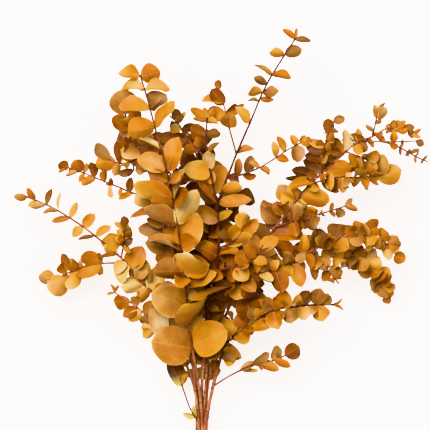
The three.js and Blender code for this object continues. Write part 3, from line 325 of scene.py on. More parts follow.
        (0, 0.62, 0.94, 3, 24, 19, 0.95, 0.9), (1, 0.3, 0.9, 2, 20, 15, 0.9, 0.85),
    ],
    "finer": [
        (150, 265, 152, 279, 20, -3, 5, 4), (174, 274, 178, 286, 20, 4, 5, 5),
        (180, 275, 190, 262, 19, 3, 5, 4.5), (196, 275, 205, 262, 18, 3, 5, 5.5),
        (206, 273, 199, 283, 17, 4, 5, 6), (216, 268, 208, 258, 16, 2, 5, 4.5),
        (224, 261, 236, 256, 15, 2, 5, 5.5), (168, 247, 178, 260, 19, 3, 5, 3.5),
        (184, 245, 180, 231, 15, 3, 5, 4), (188, 244, 196, 232, 17, 3, 5, 5),
        (201, 238, 213, 246, 17, 3, 5, 5), (205, 234, 213, 222, 18, 3, 5, 5.5),
        (213, 222, 202, 218, 16, 3, 5, 5), (215, 219, 228, 217, 15, 3, 5, 6),
        (220, 207, 210, 202, 13, 2, 5, 5), (221, 205, 231, 201, 12, 2, 5, 5.5),
        (164, 271, 160, 258, 17, -3, 5, 4), (110, 249, 106, 268, 19, -6, 5, 4.5),
    ],
    "fill": [
        (0, 0.35, 0.97, 14, 26, 17, 0.9, 0.85), (1, 0.1, 0.95, 9, 20, 14, 0.9, 0.85),
        (2, 0.2, 0.9, 3, 16, 13, 0.8, 0.8),
    ],
}, {
    "name": "left_reach_stem", "slot": (-1, -1), "cut": 5, "tone": 0.5, "fillTone": 0.55,
    "route": [
        (-9, 100, 23), (-24, 146, 28), (-44, 182, 33), (-65, 208, 38), (-82, 223, 43), (-95, 242, 48),
        (-113, 258, 52), (-137, 278, 55), (-160, 294, 56), (-188, 310, 56), (-213, 320, 54),
    ],
    "twigs": [
        [
            (-94, 240, 47), (-110, 240, 47), (-127, 239, 46), (-142, 236, 44), (-155, 231, 42),
            (-168, 226, 39), (-182, 217, 34),
        ],
        [(-99, 246, 49), (-96, 262, 58), (-95, 276, 65), (-93, 292, 70)],
    ],
    "leaves": [
        (-213, 320, -228, 320, 10, 1, 10, 5), (-202, 317, -213, 330, 10, 2, 15, 4.5),
        (-200, 316, -211, 309, 7, 2, 30, 6.5), (-189, 311, -207, 306, 8, 2, 20, 6),
        (-189, 311, -184, 330, 8, 2, 20, 4.5), (-175, 303, -193, 302, 9, 2, 40, 5.5),
        (-175, 303, -173, 325, 9, 2, 62, 7.5), (-161, 294, -182, 290, 9, 3, 20, 5),
        (-161, 294, -152, 313, 9, 3, 20, 7), (-145, 284, -131, 298, 15, 3, 10, 7),
        (-145, 284, -157, 273, 13, 3, 10, 8.5), (-130, 273, -111, 283, 12, 3, 25, 6.5),
        (-130, 273, -152, 269, 10, 3, 62, 5.5), (-108, 254, -112, 275, 24, 5, 10, 7),
        (-104, 250, -127, 246, 12, 4, 58, 6.5), (-93, 240, -101, 218, 20, 6, 10, 9),
        (-88, 233, -75, 258, 25, 9, 10, 6), (-71, 214, -98, 211, 22, 9, 10, 9),
        (-97, 246, -81, 272, 23, 7, 20, 6.5), (-70, 212, -72, 246, 21, 5, 10, 6),
        (-58, 201, -55, 234, 23, 10, 10, 7), (-94, 284, -96, 297, 12, 3, 10, 2.5),
        (-95, 273, -86, 284, 12, 4, 10, 2.5), (-95, 272, -104, 280, 9, 2, 20, 7),
        (-121, 239, -148, 249, 20, 9, 10, 3.5), (-124, 239, -151, 224, 18, 2, 10, 5.5),
        (-155, 231, -173, 250, 14, 5, 20, 4), (-152, 232, -163, 209, 20, 5, 10, 7.6),
        (-180, 219, -199, 224, 20, 3, 10, 6), (-170, 225, -181, 200, 28, 4, 5, 7.8),
    ],
    "sprouts": [
        (0, 0.36, 0.6, 2, 30, 25, 0.85, 0.8), (1, 0.3, 0.9, 1, 20, 17, 0.85, 0.85),
    ],
    "finer": [
        (-104, 251, -120, 262, 14, 2, 10, 8.5), (-99, 246, -112, 240, 14, -3, 10, 4),
        (-76, 219, -86, 236, 15, 6, 10, 7.5), (-66, 209, -78, 198, 15, 4, 10, 8),
        (-60, 204, -44, 212, 16, 8, 10, 6), (-84, 226, -66, 236, 18, 5, 10, 5.5),
        (-96, 262, -86, 270, 12, 3, 10, 4), (-96, 266, -105, 271, 10, 2, 10, 5),
        (-95, 280, -107, 287, 8, 2, 30, 7), (-148, 234, -160, 246, 9, 2, 30, 6),
        (-128, 239, -122, 250, 10, 2, 20, 6.5), (-97, 243, -105, 228, 16, 3, 10, 8),
    ],
    "fill": [
        (0, 0.3, 0.62, 6, 26, 20, 0.9, 0.8), (1, 0.2, 0.9, 3, 18, 15, 0.8, 0.8),
        (2, 0.2, 0.9, 3, 15, 11, 0.7, 0.7),
    ],
}, {
    "name": "back_stem", "slot": (0, -1), "cut": 15, "tone": 0.6, "fillTone": 0.25,
    "route": [
        (-1, 100, 23), (-1, 150, 26), (2, 205, 29), (6, 260, 33), (2, 320, 38), (-8, 370, 44),
        (-16, 405, 50),
    ],
    "twigs": [
        [(0, 175, 28), (-18, 215, 27), (-32, 250, 22), (-42, 280, 14), (-50, 302, 6), (-56, 314, 1.2)],
        [(2, 200, 29), (26, 225, 28), (50, 245, 23), (72, 262, 15), (88, 274, 7), (98, 281, 1.2)],
        [(6, 262, 33), (-12, 300, 37), (-34, 340, 42), (-58, 372, 48), (-72, 398, 52)],
        [(6, 270, 34), (30, 310, 40), (46, 330, 44)],
    ],
    "flat": [
        (-54, 312, -70, 338, 28), (96, 280, 122, 294, 28),
    ],
    "sprouts": [
        (0, 0.35, 0.98, 3, 40, 30, 0.88, 0.85), (1, 0.4, 0.85, 1, 30, 28, 0.9, 0.9),
        (2, 0.4, 0.85, 1, 30, 28, 0.9, 0.9), (3, 0.35, 0.97, 2, 34, 28, 0.9, 0.85),
        (4, 0.35, 0.97, 1, 34, 28, 0.9, 0.85),
    ],
    "fill": [
        (0, 0.3, 0.98, 11, 34, 27, 0.9, 0.85), (1, 0.15, 0.85, 7, 28, 26, 0.9, 0.85),
        (2, 0.15, 0.85, 7, 28, 26, 0.9, 0.85), (3, 0.2, 0.95, 6, 28, 24, 0.9, 0.85),
        (4, 0.2, 0.9, 4, 28, 24, 0.9, 0.85),
    ],
}, {
    "name": "upper_right_stem", "slot": (1, -1), "cut": 3, "tone": 0.62, "fillTone": 0.52,
    "route": [
        (7, 100, 22), (18, 150, 31), (40, 205, 44), (62, 246, 55), (82, 276, 63), (98, 298, 69),
        (122, 328, 77), (145, 350, 83), (165, 368, 87), (185, 385, 89), (203, 392, 89), (222, 402, 88),
        (242, 400, 86), (252, 396, 84),
    ],
    "twigs": [
        [(190, 387, 89), (215, 386, 92), (240, 386, 91), (257, 387, 89)],
        [
            (218, 386, 92), (225, 383, 91), (236, 379, 90), (247, 373, 88), (258, 367, 86),
            (270, 362, 84),
        ],
        [(203, 392, 89), (206, 404, 92), (209, 420, 94)],
        [
            (130, 336, 79), (150, 341, 82), (165, 344, 84), (180, 343, 84), (195, 344, 82),
            (210, 343, 79),
        ],
        [
            (88, 284, 65), (104, 289, 74), (120, 292, 80), (136, 298, 83), (150, 302, 84), (172, 309, 82),
        ],
        [(142, 348, 82), (144, 362, 92), (145, 376, 98), (149, 392, 101), (157, 411, 101)],
        [(172, 374, 88), (185, 369, 91), (197, 364, 92), (206, 356, 91)],
    ],
    "leaves": [
        (256, 387, 265, 382, 10, 1, 5, 4.5), (228, 386, 229, 374, 11, 3, 5, 5),
        (228, 386, 229, 398, 10, 3, 5, 6), (252, 396, 262, 401, 6, 1, 20, 5),
        (252, 396, 261, 391, 6, 2, 20, 6), (208, 414, 206, 430, 8, 3, 10, 7),
        (209, 414, 220, 426, 15, 3, 10, 4), (209, 420, 217, 433, 6, 2, 35, 4),
        (205, 398, 195, 406, 7, 3, 30, 6.5), (205, 397, 220, 383, 8, 4, 30, 5),
        (206, 344, 218, 371, 24, 6, 5, 6.3), (210, 343, 238, 352, 27, 3, 5, 6),
        (172, 374, 172, 402, 15, 8, 15, 7.5), (168, 370, 148, 387, 22, -6, 10, 3.5),
        (148, 353, 179, 356, 21, 9, 10, 5.5), (147, 352, 131, 368, 10, 9, 35, 6),
        (150, 354, 154, 328, 12, 8, 25, 6.5), (134, 340, 103, 332, 13, 8, 20, 6),
        (118, 322, 149, 314, 24, 8, 10, 6), (104, 305, 123, 312, 15, 7, 5, 8),
        (100, 300, 131, 300, 24, 3, 5, 4), (92, 290, 71, 304, 21, 7, 5, 4.5),
        (82, 276, 119, 276, 26, 9, 5, 4.5), (84, 280, 72, 316, 16, -5, 5, 3),
        (145, 380, 128, 387, 11, 3, 5, 6.5), (148, 388, 157, 396, 12, 3, 5, 5),
        (150, 396, 150, 414, 15, 3, 5, 4.5), (156, 410, 170, 414, 12, 2, 10, 2.5),
        (160, 305, 170, 297, 12, 3, 5, 4), (172, 309, 180, 318, 7, 2, 15, 5),
        (172, 309, 186, 304, 8, 2, 15, 5), (122, 292, 136, 280, 12, 3, 10, 2.5),
        (183, 384, 197, 391, 12, -3, 10, 2), (182, 382, 190, 370, 12, 5, 20, 6.5),
        (197, 364, 203, 348, 20, -4, 5, 5.5), (186, 369, 184, 349, 23, -5, 5, 5),
        (170, 371, 150, 383, 14, -8, 5, 2), (149, 353, 122, 363, 17, -14, 5, 2),
        (138, 344, 108, 352, 16, -10, 5, 2), (228, 403, 244, 408, 11, 2, 20, 4.5),
    ],
    "sprouts": [
        (0, 0.45, 0.74, 3, 32, 26, 0.85, 0.8), (0, 0.78, 0.98, 3, 15, 12, 0.8, 0.75),
        (2, 0.25, 0.98, 4, 10, 8, 0.5, 0.45), (4, 0.3, 0.9, 2, 21, 18, 0.7, 0.75),
        (5, 0.4, 0.9, 2, 14, 10, 0.6, 0.55), (6, 0.2, 0.8, 1, 18, 13, 0.85, 0.8),
    ],
    "finer": [
        (182, 383, 168, 388, 9, 3, 10, 7), (181, 383, 197, 374, 17, -3, 10, 5),
        (197, 389, 206, 379, 9, 3, 10, 5), (196, 370, 212, 371, 16, -8, 10, 6),
        (168, 371, 152, 373, 14, -10, 10, 2), (147, 354, 140, 375, 15, -10, 10, 1.5),
        (130, 338, 98, 345, 15, -14, 10, 2), (160, 358, 178, 345, 13, 4, 10, 7),
        (138, 345, 124, 343, 12, -6, 10, 3), (166, 345, 184, 338, 8, 3, 10, 7),
        (194, 344, 197, 331, 7, 2, 10, 4), (198, 343, 211, 334, 6, 2, 10, 4),
        (203, 344, 211, 340, 7, 2, 10, 5.5), (190, 344, 198, 352, 9, 3, 10, 7.5),
        (150, 341, 175, 331, 11, -6, 10, 2), (142, 339, 163, 326, 11, -6, 10, 2),
        (126, 333, 140, 325, 9, 5, 10, 8), (207, 408, 214, 411, 6, 2, 10, 4),
        (226, 402, 238, 409, 12, 2, 10, 5), (232, 401, 245, 397, 12, 2, 10, 5.5),
        (240, 400, 253, 403, 11, 2, 10, 5), (246, 398, 254, 390, 10, 2, 10, 5),
        (248, 372, 260, 377, 6, 2, 10, 6), (110, 314, 92, 322, 15, 3, 10, 6),
        (112, 316, 106, 334, 14, 3, 10, 5.5), (98, 299, 86, 312, 16, 4, 10, 4),
        (156, 342, 150, 330, 11, 3, 10, 6), (172, 374, 186, 362, 14, 3, 10, 5),
        (186, 386, 178, 395, 12, -5, 10, 2), (156, 361, 138, 366, 12, -4, 10, 2),
        (145, 374, 125, 381, 15, -8, 10, 2), (144, 364, 122, 371, 14, -8, 10, 2),
        (93, 292, 72, 311, 20, -4, 5, 4.5),
    ],
    "fill": [
        (0, 0.4, 0.97, 16, 28, 13, 0.9, 0.7), (4, 0.2, 0.95, 6, 20, 18, 0.8, 0.8),
        (5, 0.2, 0.7, 4, 20, 14, 0.85, 0.8), (6, 0.2, 0.9, 3, 16, 13, 0.8, 0.8),
        (7, 0.1, 0.9, 3, 20, 16, 0.9, 0.9),
    ],
}]

leafRule = {
    "stalk": 0.9,  # power that draws a leaf out at its foot, under 1
    "skew": 0.2,  # how far its corners sit from its foot, in radians
    "narrow": 15,  # width of those tested with four corners
    "middling": 24,  # length of those tested with six corners
    "large": 37,  # longer leaves are cupped and waved all the way
    "wave": 0.03,  # of a leaf's width, at its edge
    "rootDepth": 0.5,  # how far its foot is sunk into its stem
    "clearance": 1.15,  # from the middle of one leaf to any other
    "fillClearance": 1.0,
    "overFloor": 0.5,  # from a hanging leaf to the floor
    "flatHeight": 0.325,  # of a leaf that lies on the floor
    "sameRoot": 5,  # leaves rooted this near may touch at their feet
    "steepest": 0.9,  # of a leaf's direction, upwards or downwards
    "tipwards": -0.02,  # an upper side that faces further from its branch's tip is turned over
    "cups": (0.05, 0.4), "bends": (-0.2, 0.08),  # the least and most that are drawn
    "leans": (60, 88), "rolls": (-45, 45), "turns": (-20, 20),  # degrees, of a sprout's leaves
    "lengths": (0.85, 1.15), "widths": (0.9, 1.1),  # over the length and width of its place
    "sproutTone": 0.45, "flatTone": 0.35,
    "leafSeed": 1000, "sproutSeed": 2000, "fineSeed": 3000, "lookSeed": 100,  # of the first stem
}
up = np.array([0.0, 0.0, 1.0])


# start + (end - start) x share
def mix(start, end, share):
    return start + (end - start) * share


def unit(vector):
    return vector / np.linalg.norm(vector)


# A small linear generator, so that the same bunch grows every time.
def seeded(seed):
    state = seed

    def draw():
        nonlocal state
        state = (state * 1664525 + 1013904223) % 2**32
        return state / 2**32

    return draw


# Where a held stem's middle passes y.
def inBundle(slot, y):
    z = bundle["height"] + bundle["slope"] * y + slot[1] * layer
    return (bundle["middle"] + slot[0] * pitch, y, z)


# A branch along its points, with its radius at its start and at its end.
def makeBranch(points, start, end, sides):
    points = np.array(points, float)
    lengths = np.linalg.norm(np.diff(points, axis=0), axis=1)
    return {
        "points": points, "lengths": lengths, "sides": sides, "nodes": [],
        "radii": np.linspace(start, end, len(points)),
    }


# A stem's own branch comes first, and then its twigs, each rooted in those before it.
def growBranches(stem):
    held = [inBundle(stem["slot"], y) for y in (bundle["cutEnd"] + stem["cut"], 0, bundle["top"])]
    radii = bundle["stemDiameter"] / 2, bundle["tipRadius"]
    branches = [makeBranch(held + stem["route"], *radii, bundle["stemSides"])]
    radii = bundle["twigRadius"], bundle["twigTipRadius"]
    for twig in stem.get("twigs", []):
        root = nearest(branches, *twig[0][:2])["root"]
        branches.append(makeBranch([root] + twig[1:], *radii, bundle["twigSides"]))
    return branches


# A place on a branch, by its stretch and the share of that stretch.
def placeOn(branch, stretch, share):
    start, end = branch["points"][stretch : stretch + 2]
    outer = mix(branch["radii"][stretch], branch["radii"][stretch + 1], share)
    return {
        "root": mix(start, end, share), "tangent": unit(end - start), "branch": branch,
        "radius": outer * math.cos(math.pi / branch["sides"]), "stretch": stretch, "share": share,
    }


# The nearest place on a stem's branches to a point seen from above.
def nearest(branches, x, y):
    best, bestDistance = None, math.inf
    for branch in branches:
        points = branch["points"]
        for i in range(len(points) - 1):
            dx, dy = points[i + 1][:2] - points[i][:2]
            along = ((x - points[i][0]) * dx + (y - points[i][1]) * dy) / (dx * dx + dy * dy)
            isLast = i + 2 == len(points)
            furthest = 1 - bundle["tipMargin"] / branch["lengths"][i] if isLast else 1
            share = min(max(along, 0), furthest)
            distance = math.hypot(points[i][0] + dx * share - x, points[i][1] + dy * share - y)
            if distance < bestDistance - 1e-6:  # the first of equals
                best, bestDistance = (branch, i, share), distance
    return placeOn(*best)


# The place at a share of a branch's length.
def placeAlong(branch, share):
    rest = share * branch["lengths"].sum()
    i = 0
    while i + 1 < len(branch["lengths"]) and rest > branch["lengths"][i]:
        rest -= branch["lengths"][i]
        i += 1
    return placeOn(branch, i, rest / branch["lengths"][i])


# A branch's directions across, at each of its points: side = tangent x up, top = side x tangent.
def acrossFrames(points):
    tangent = np.empty_like(points)
    tangent[1:-1] = points[2:] - points[:-2]
    tangent[0] = points[1] - points[0]
    tangent[-1] = points[-1] - points[-2]
    tangent /= np.linalg.norm(tangent, axis=1)[:, None]
    side = np.cross(tangent, up)
    side /= np.linalg.norm(side, axis=1)[:, None]
    return side, np.cross(side, tangent)


# Directions round a ring: sin angle x side + cos angle x top.
def ringOf(count, side, top):
    angle = 2 * math.pi * np.arange(count) / count
    return np.sin(angle)[:, None] * side[..., None, :] + np.cos(angle)[:, None] * top[..., None, :]


# Rows of point numbers, from groups of columns.
def numbersOf(*groups):
    return np.vstack([np.stack(np.broadcast_arrays(*columns), 1) for columns in groups])


# A leaf's point, by its angle round the middle from the foot and its share of the way out:
# along = length x ((1 - out x cos turned) / 2) ^ stalk, side = half width x out x sin turned.
def leafPoint(leaf, angle, out, off):
    turned = angle + leafRule["skew"] * np.sin(angle)
    along = np.maximum((1 - out * np.cos(turned)) / 2, 0) ** leafRule["stalk"] * leaf["length"]
    side = 0.5 * leaf["width"] * out * np.sin(turned)
    height = off + 0 * along
    if leaf["length"] > leafRule["large"]:
        height = height + leaf["cup"] * 2 * side**2 / leaf["width"]
        height = height + leaf["bend"] * along**2 / leaf["length"]
        wave = leafRule["wave"] * leaf["width"] * out**2
        height = height + wave * np.sin(3 * angle + leaf["phase"])
    return (
        leaf["foot"] + along[:, None] * leaf["direction"]
        + side[:, None] * leaf["across"] + height[:, None] * leaf["upper"]
    )


# How many corners a leaf's solid has.
def cornersOf(leaf):
    if leaf["length"] > leafRule["large"]:
        return 8
    if leaf["width"] < leafRule["narrow"]:
        return 4
    return 6 if leaf["length"] > leafRule["middling"] else 5


# What the crowd holds of each solid: its edges and triangles, its box and where it is rooted.
def bodyOf(points, edges, triangles, branch=None, root=None):
    return {
        "edges": points[edges], "triangles": points[triangles], "branch": branch, "root": root,
        "low": points.min(axis=0), "high": points.max(axis=0),
    }


# The leaf as one sheet: its middle and its corners. Without its foot it is the blade alone.
def leafSheet(leaf, withFoot=True):
    count = cornersOf(leaf)
    k = np.arange(count)
    after = (k + 1) % count
    angle = np.append(0, 2 * math.pi * k / count)
    out = np.append(0, np.ones(count))
    points = leafPoint(leaf, angle, out, 0)
    edges = numbersOf((0, k + 1), (k + 1, after + 1))
    triangles = numbersOf((0, k + 1, after + 1))
    if not withFoot:
        edges = edges[(edges != 1).all(axis=1)]
        triangles = triangles[(triangles != 1).all(axis=1)]
    return bodyOf(points, edges, triangles, leaf["branch"], leaf["root"])


# The room that a leaf needs: the sheet made thicker and wider by the clearance.
def leafRoom(leaf, clearance):
    count = cornersOf(leaf)
    k = np.arange(count)
    angle = np.concatenate([[0, 0], np.repeat(2 * math.pi * k / count, 2)])
    out = np.concatenate([[0, 0], np.full(2 * count, 1 + clearance / (0.5 * leaf["width"]))])
    off = np.tile([clearance, -clearance], count + 1)
    points = leafPoint(leaf, angle, out, off)
    top = 2 + 2 * k
    after = 2 + 2 * ((k + 1) % count)
    edges = numbersOf((0, top), (1, top + 1), (top, after), (top + 1, after + 1), (top, top + 1))
    triangles = numbersOf(
        (0, top, after), (1, top + 1, after + 1), (top, top + 1, after), (after, after + 1, top + 1)
    )
    return bodyOf(points, edges, triangles)


# A branch as straight prisms, one for each stretch.
def branchBodies(branch):
    side, top = acrossFrames(branch["points"])
    count = branch["sides"]
    k = np.arange(count)
    rings = branch["points"][:, None] + ringOf(count, side, top) * branch["radii"][:, None, None]
    after = (k + 1) % count
    edges = numbersOf((k, after), (k, k + count), (k + count, after + count))
    triangles = numbersOf((k, after, k + count), (after, after + count, k + count))
    return [
        bodyOf(np.vstack([rings[i], rings[i + 1]]), edges, triangles, branch)
        for i in range(len(rings) - 1)
    ]


# Whether any stretch between two points passes through any triangle.
# Pairs whose stretch stays on one side of the triangle's plane are dropped first.
def pierced(edges, triangles):
    sideOne = triangles[:, 1] - triangles[:, 0]
    sideTwo = triangles[:, 2] - triangles[:, 0]
    normal = np.cross(sideOne, sideTwo)
    level = (normal * triangles[:, 0]).sum(axis=1)
    before = edges[:, 0] @ normal.T - level
    beyond = edges[:, 1] @ normal.T - level
    e, t = np.nonzero(before * beyond <= 0)
    if len(e) == 0:
        return False
    line = edges[e, 1] - edges[e, 0]
    slant = np.cross(line, sideTwo[t])
    scale = (sideOne[t] * slant).sum(axis=1)
    solid = np.abs(scale) >= 1e-9  # the two aren't parallel
    scale = np.where(solid, scale, 1)
    reach = edges[e, 0] - triangles[t, 0]
    first = (reach * slant).sum(axis=1) / scale
    turn = np.cross(reach, sideOne[t])
    second = (line * turn).sum(axis=1) / scale
    along = (sideTwo[t] * turn).sum(axis=1) / scale
    inside = solid & (first >= 0) & (first <= 1) & (second >= 0) & (first + second <= 1)
    return bool((inside & (along >= 0) & (along <= 1)).any())


# Everything that has grown so far, to keep new leaves clear of.
class Crowd:
    def __init__(self, most=4000):
        self.bodies = []
        self.lows = np.empty((most, 3))
        self.highs = np.empty((most, 3))

    def add(self, body):
        self.lows[len(self.bodies)] = body["low"]
        self.highs[len(self.bodies)] = body["high"]
        self.bodies.append(body)

    def near(self, room):
        count = len(self.bodies)
        meets = (self.lows[:count] <= room["high"]) & (self.highs[:count] >= room["low"])
        return [self.bodies[i] for i in np.nonzero(meets.all(axis=1))[0]]

    # Only a leaf's foot may touch its own branch and the leaves rooted at the same place.
    def sharesRoot(self, body, leaf):
        if body["branch"] is not leaf["branch"]:
            return False
        if body["root"] is None:
            return True
        return np.linalg.norm(body["root"] - leaf["root"]) < leafRule["sameRoot"]

    def isClear(self, leaf, clearance):
        room = leafRoom(leaf, clearance)
        if room["low"][2] < leafRule["overFloor"]:
            return False
        groups = [[], []]
        for body in self.near(room):
            groups[int(self.sharesRoot(body, leaf))].append(body)
        for mine, others in ((room, groups[0]), (leafSheet(leaf, False), groups[1])):
            if not others:
                continue
            if pierced(mine["edges"], np.concatenate([other["triangles"] for other in others])):
                return False
            if pierced(np.concatenate([other["edges"] for other in others]), mine["triangles"]):
                return False
        return True


# What is tried in turn until a leaf is clear: more roll, more rise (degrees) and a smaller size.
tries = [
    (0, 0, 1), (12, 0, 1), (-12, 0, 1), (0, 10, 1), (0, -10, 1), (24, 0, 1), (-24, 0, 1), (0, 20, 1),
    (0, -20, 1), (18, 18, 1), (-18, 18, 1), (18, -18, 1), (-18, -18, 1), (0, 32, 1), (0, -32, 1),
    (40, 0, 0.95), (-40, 0, 0.95), (30, 30, 0.9), (-30, 30, 0.9), (30, -30, 0.9), (-30, -30, 0.9),
    (0, 45, 0.9), (0, -45, 0.9), (60, 0, 0.85), (-60, 0, 0.85), (0, 0, 0.75), (25, 20, 0.75),
    (-25, -20, 0.75), (50, 40, 0.7), (-50, -40, 0.7), (0, 0, 0.6), (45, 0, 0.6), (-45, 0, 0.6),
]


# Turns a leaf's upper side about its rib by roll, and keeps it towards the branch's tip.
def faceLeaf(leaf, roll):
    direction = leaf["direction"]
    facing = unit(up - direction * direction[2])
    upper = facing * math.cos(roll) + np.cross(direction, facing) * math.sin(roll)
    leaf["upper"] = -upper if upper @ leaf["tangent"] < leafRule["tipwards"] else upper
    leaf["across"] = np.cross(direction, leaf["upper"])
    return leaf


# A leaf that grows from its seed, after one of the changes above.
def shapeLeaf(seed, moreRoll, moreRise, size):
    direction = seed["direction"].copy()
    direction[2] += math.tan(math.radians(moreRise))
    direction = unit(direction)
    direction[2] = min(max(direction[2], -leafRule["steepest"]), leafRule["steepest"])
    direction = unit(direction)
    foot = seed["root"] + direction * max(seed["radius"] - leafRule["rootDepth"], 0)
    leaf = {**seed, "direction": direction, "foot": foot}
    leaf["length"] = seed["length"] * size
    leaf["width"] = seed["width"] * size
    return faceLeaf(leaf, math.radians(seed["roll"] + moreRoll))


# The first change that leaves it clear is kept, and a leaf that never is clear doesn't grow.
def settle(seed, crowd, clearance):
    for change in tries:
        leaf = shapeLeaf(seed, *change)
        if crowd.isClear(leaf, clearance):
            crowd.add(leafSheet(leaf))
            return leaf
    return None


# One number of a range of the rule, by the next draw.
def drawn(name, draw):
    return mix(*leafRule[name], draw())


# A leaf that is known by its place.
def seedFromRow(row, branches, draw):
    footX, footY, tipX, tipY, width, rise, roll, tone = row
    place = nearest(branches, footX, footY)
    rib = np.array([tipX - place["root"][0], tipY - place["root"][1], rise])
    side = -1 if draw() < 0.5 else 1
    return {
        **place, "direction": unit(rib), "length": np.linalg.norm(rib), "width": width,
        "roll": roll * side, "cup": drawn("cups", draw), "bend": drawn("bends", draw),
        "phase": 2 * math.pi * draw(), "tone": tone / 10,
    }


# Leaves that grow in crossed pairs, each pair a quarter turn on from the last.
def seedsFromSprout(sprout, branches, draw, tone):
    index, start, end, pairs, startLength, endLength, startShape, endShape = sprout
    seeds = []
    turned = 90 * draw()
    for k in range(pairs):
        share = (k + 0.5) / pairs
        place = placeAlong(branches[index], mix(start, end, share))
        tangent = place["tangent"]
        side = unit(np.cross(tangent, up))
        top = np.cross(side, tangent)
        around = math.radians(turned + 90 * k + drawn("turns", draw))
        for half in (0, math.pi):
            radial = side * math.cos(around + half) + top * math.sin(around + half)
            lean = math.radians(drawn("leans", draw))
            direction = tangent * math.cos(lean) + radial * math.sin(lean)
            length = mix(startLength, endLength, share) * drawn("lengths", draw)
            width = length * mix(startShape, endShape, share) * drawn("widths", draw)
            seeds.append({
                **place, "direction": direction, "length": length, "width": width,
                "roll": drawn("rolls", draw), "cup": drawn("cups", draw),
                "bend": drawn("bends", draw), "phase": 2 * math.pi * draw(), "tone": tone,
            })
    return seeds


# A leaf that lies flat on the floor.
def flatLeaf(row, branches):
    footX, footY, tipX, tipY, width = row
    place = nearest(branches, footX, footY)
    foot = np.array([*place["root"][:2], leafRule["flatHeight"]])
    rib = np.array([tipX - foot[0], tipY - foot[1], 0])
    leaf = {
        **place, "tangent": up, "foot": foot, "direction": unit(rib), "width": width,
        "length": np.linalg.norm(rib), "cup": 0, "bend": 0, "phase": 0,
        "tone": leafRule["flatTone"],
    }
    return faceLeaf(leaf, 0)


# The next leaves of each stem: those known by their place, and then those in crossed pairs.
def growLeaves(grown, crowd, firstSeed, clearance, rows=None, sprouts=None, tone=None):
    for index, piece in enumerate(grown):
        stem, branches = piece["stem"], piece["branches"]
        sproutTone = stem.get(tone, leafRule["sproutTone"])
        draw = seeded(firstSeed + index)
        seeds = [seedFromRow(row, branches, draw) for row in stem.get(rows, [])]
        for sprout in stem.get(sprouts, []):
            seeds += seedsFromSprout(sprout, branches, draw, sproutTone)
        settled = [settle(seed, crowd, clearance) for seed in seeds]
        piece["leaves"] += [leaf for leaf in settled if leaf is not None]


# Grows every stem: its branches, the leaves of the solid part, and then the finer fill.
def growBunch():
    grown = [{"stem": stem, "branches": growBranches(stem), "leaves": []} for stem in stems]
    crowd = Crowd()
    for piece in grown:
        for branch in piece["branches"]:
            for body in branchBodies(branch):
                crowd.add(body)
    for piece in grown:
        for row in piece["stem"].get("flat", []):
            leaf = flatLeaf(row, piece["branches"])
            crowd.add(leafSheet(leaf))
            piece["leaves"].append(leaf)
    growLeaves(grown, crowd, leafRule["leafSeed"], leafRule["clearance"], rows="leaves")
    growLeaves(grown, crowd, leafRule["sproutSeed"], leafRule["clearance"], sprouts="sprouts")
    solidLeaves = sum(len(piece["leaves"]) for piece in grown)
    seed, clearance = leafRule["fineSeed"], leafRule["fillClearance"]
    # The fill's tone, fillTone, is low on stems whose fill lies deep in the bunch: painted shade as well
    # as the leaves' own colour.
    growLeaves(grown, crowd, seed, clearance, "finer", "fill", "fillTone")
    for piece in grown:
        for leaf in piece["leaves"]:
            leaf["branch"]["nodes"].append((leaf["stretch"], leaf["share"]))
    allLeaves = sum(len(piece["leaves"]) for piece in grown)
    print(f"grown: {solidLeaves} leaves of the solid part, {allLeaves - solidLeaves} more to fill it")
    return grown


grown = growBunch()

# Where the solid part lies: the band's middle is known in both frames.
bandLow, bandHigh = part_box("elastic_band")
bandMiddle = (np.array(bandLow) + np.array(bandHigh)) / 2 * metre
toRow = np.array([bandMiddle[0] - bundle["middle"], bandMiddle[1], 0.0])


# A grid of vertex numbers becomes faces of four corners, each with its own place on the surface.
def gridFaces(numbers, places):
    def cells(grid):
        return np.stack([grid[:-1, :-1], grid[:-1, 1:], grid[1:, 1:], grid[1:, :-1]], axis=2)

    return cells(numbers).reshape(-1, 4), cells(places).reshape(-1, 4, 2)


# What each leaf has under one key.
def gather(leaves, key):
    return np.array([leaf[key] for leaf in leaves], float)


# An object that is in the scene.
def newObject(name, data):
    made = bpy.data.objects.new(name, data)
    bpy.context.scene.collection.objects.link(made)
    return made


meshRule = {"overFloor": 0.05, "sharpFrom": 70}  # the lowest point, and degrees between faces


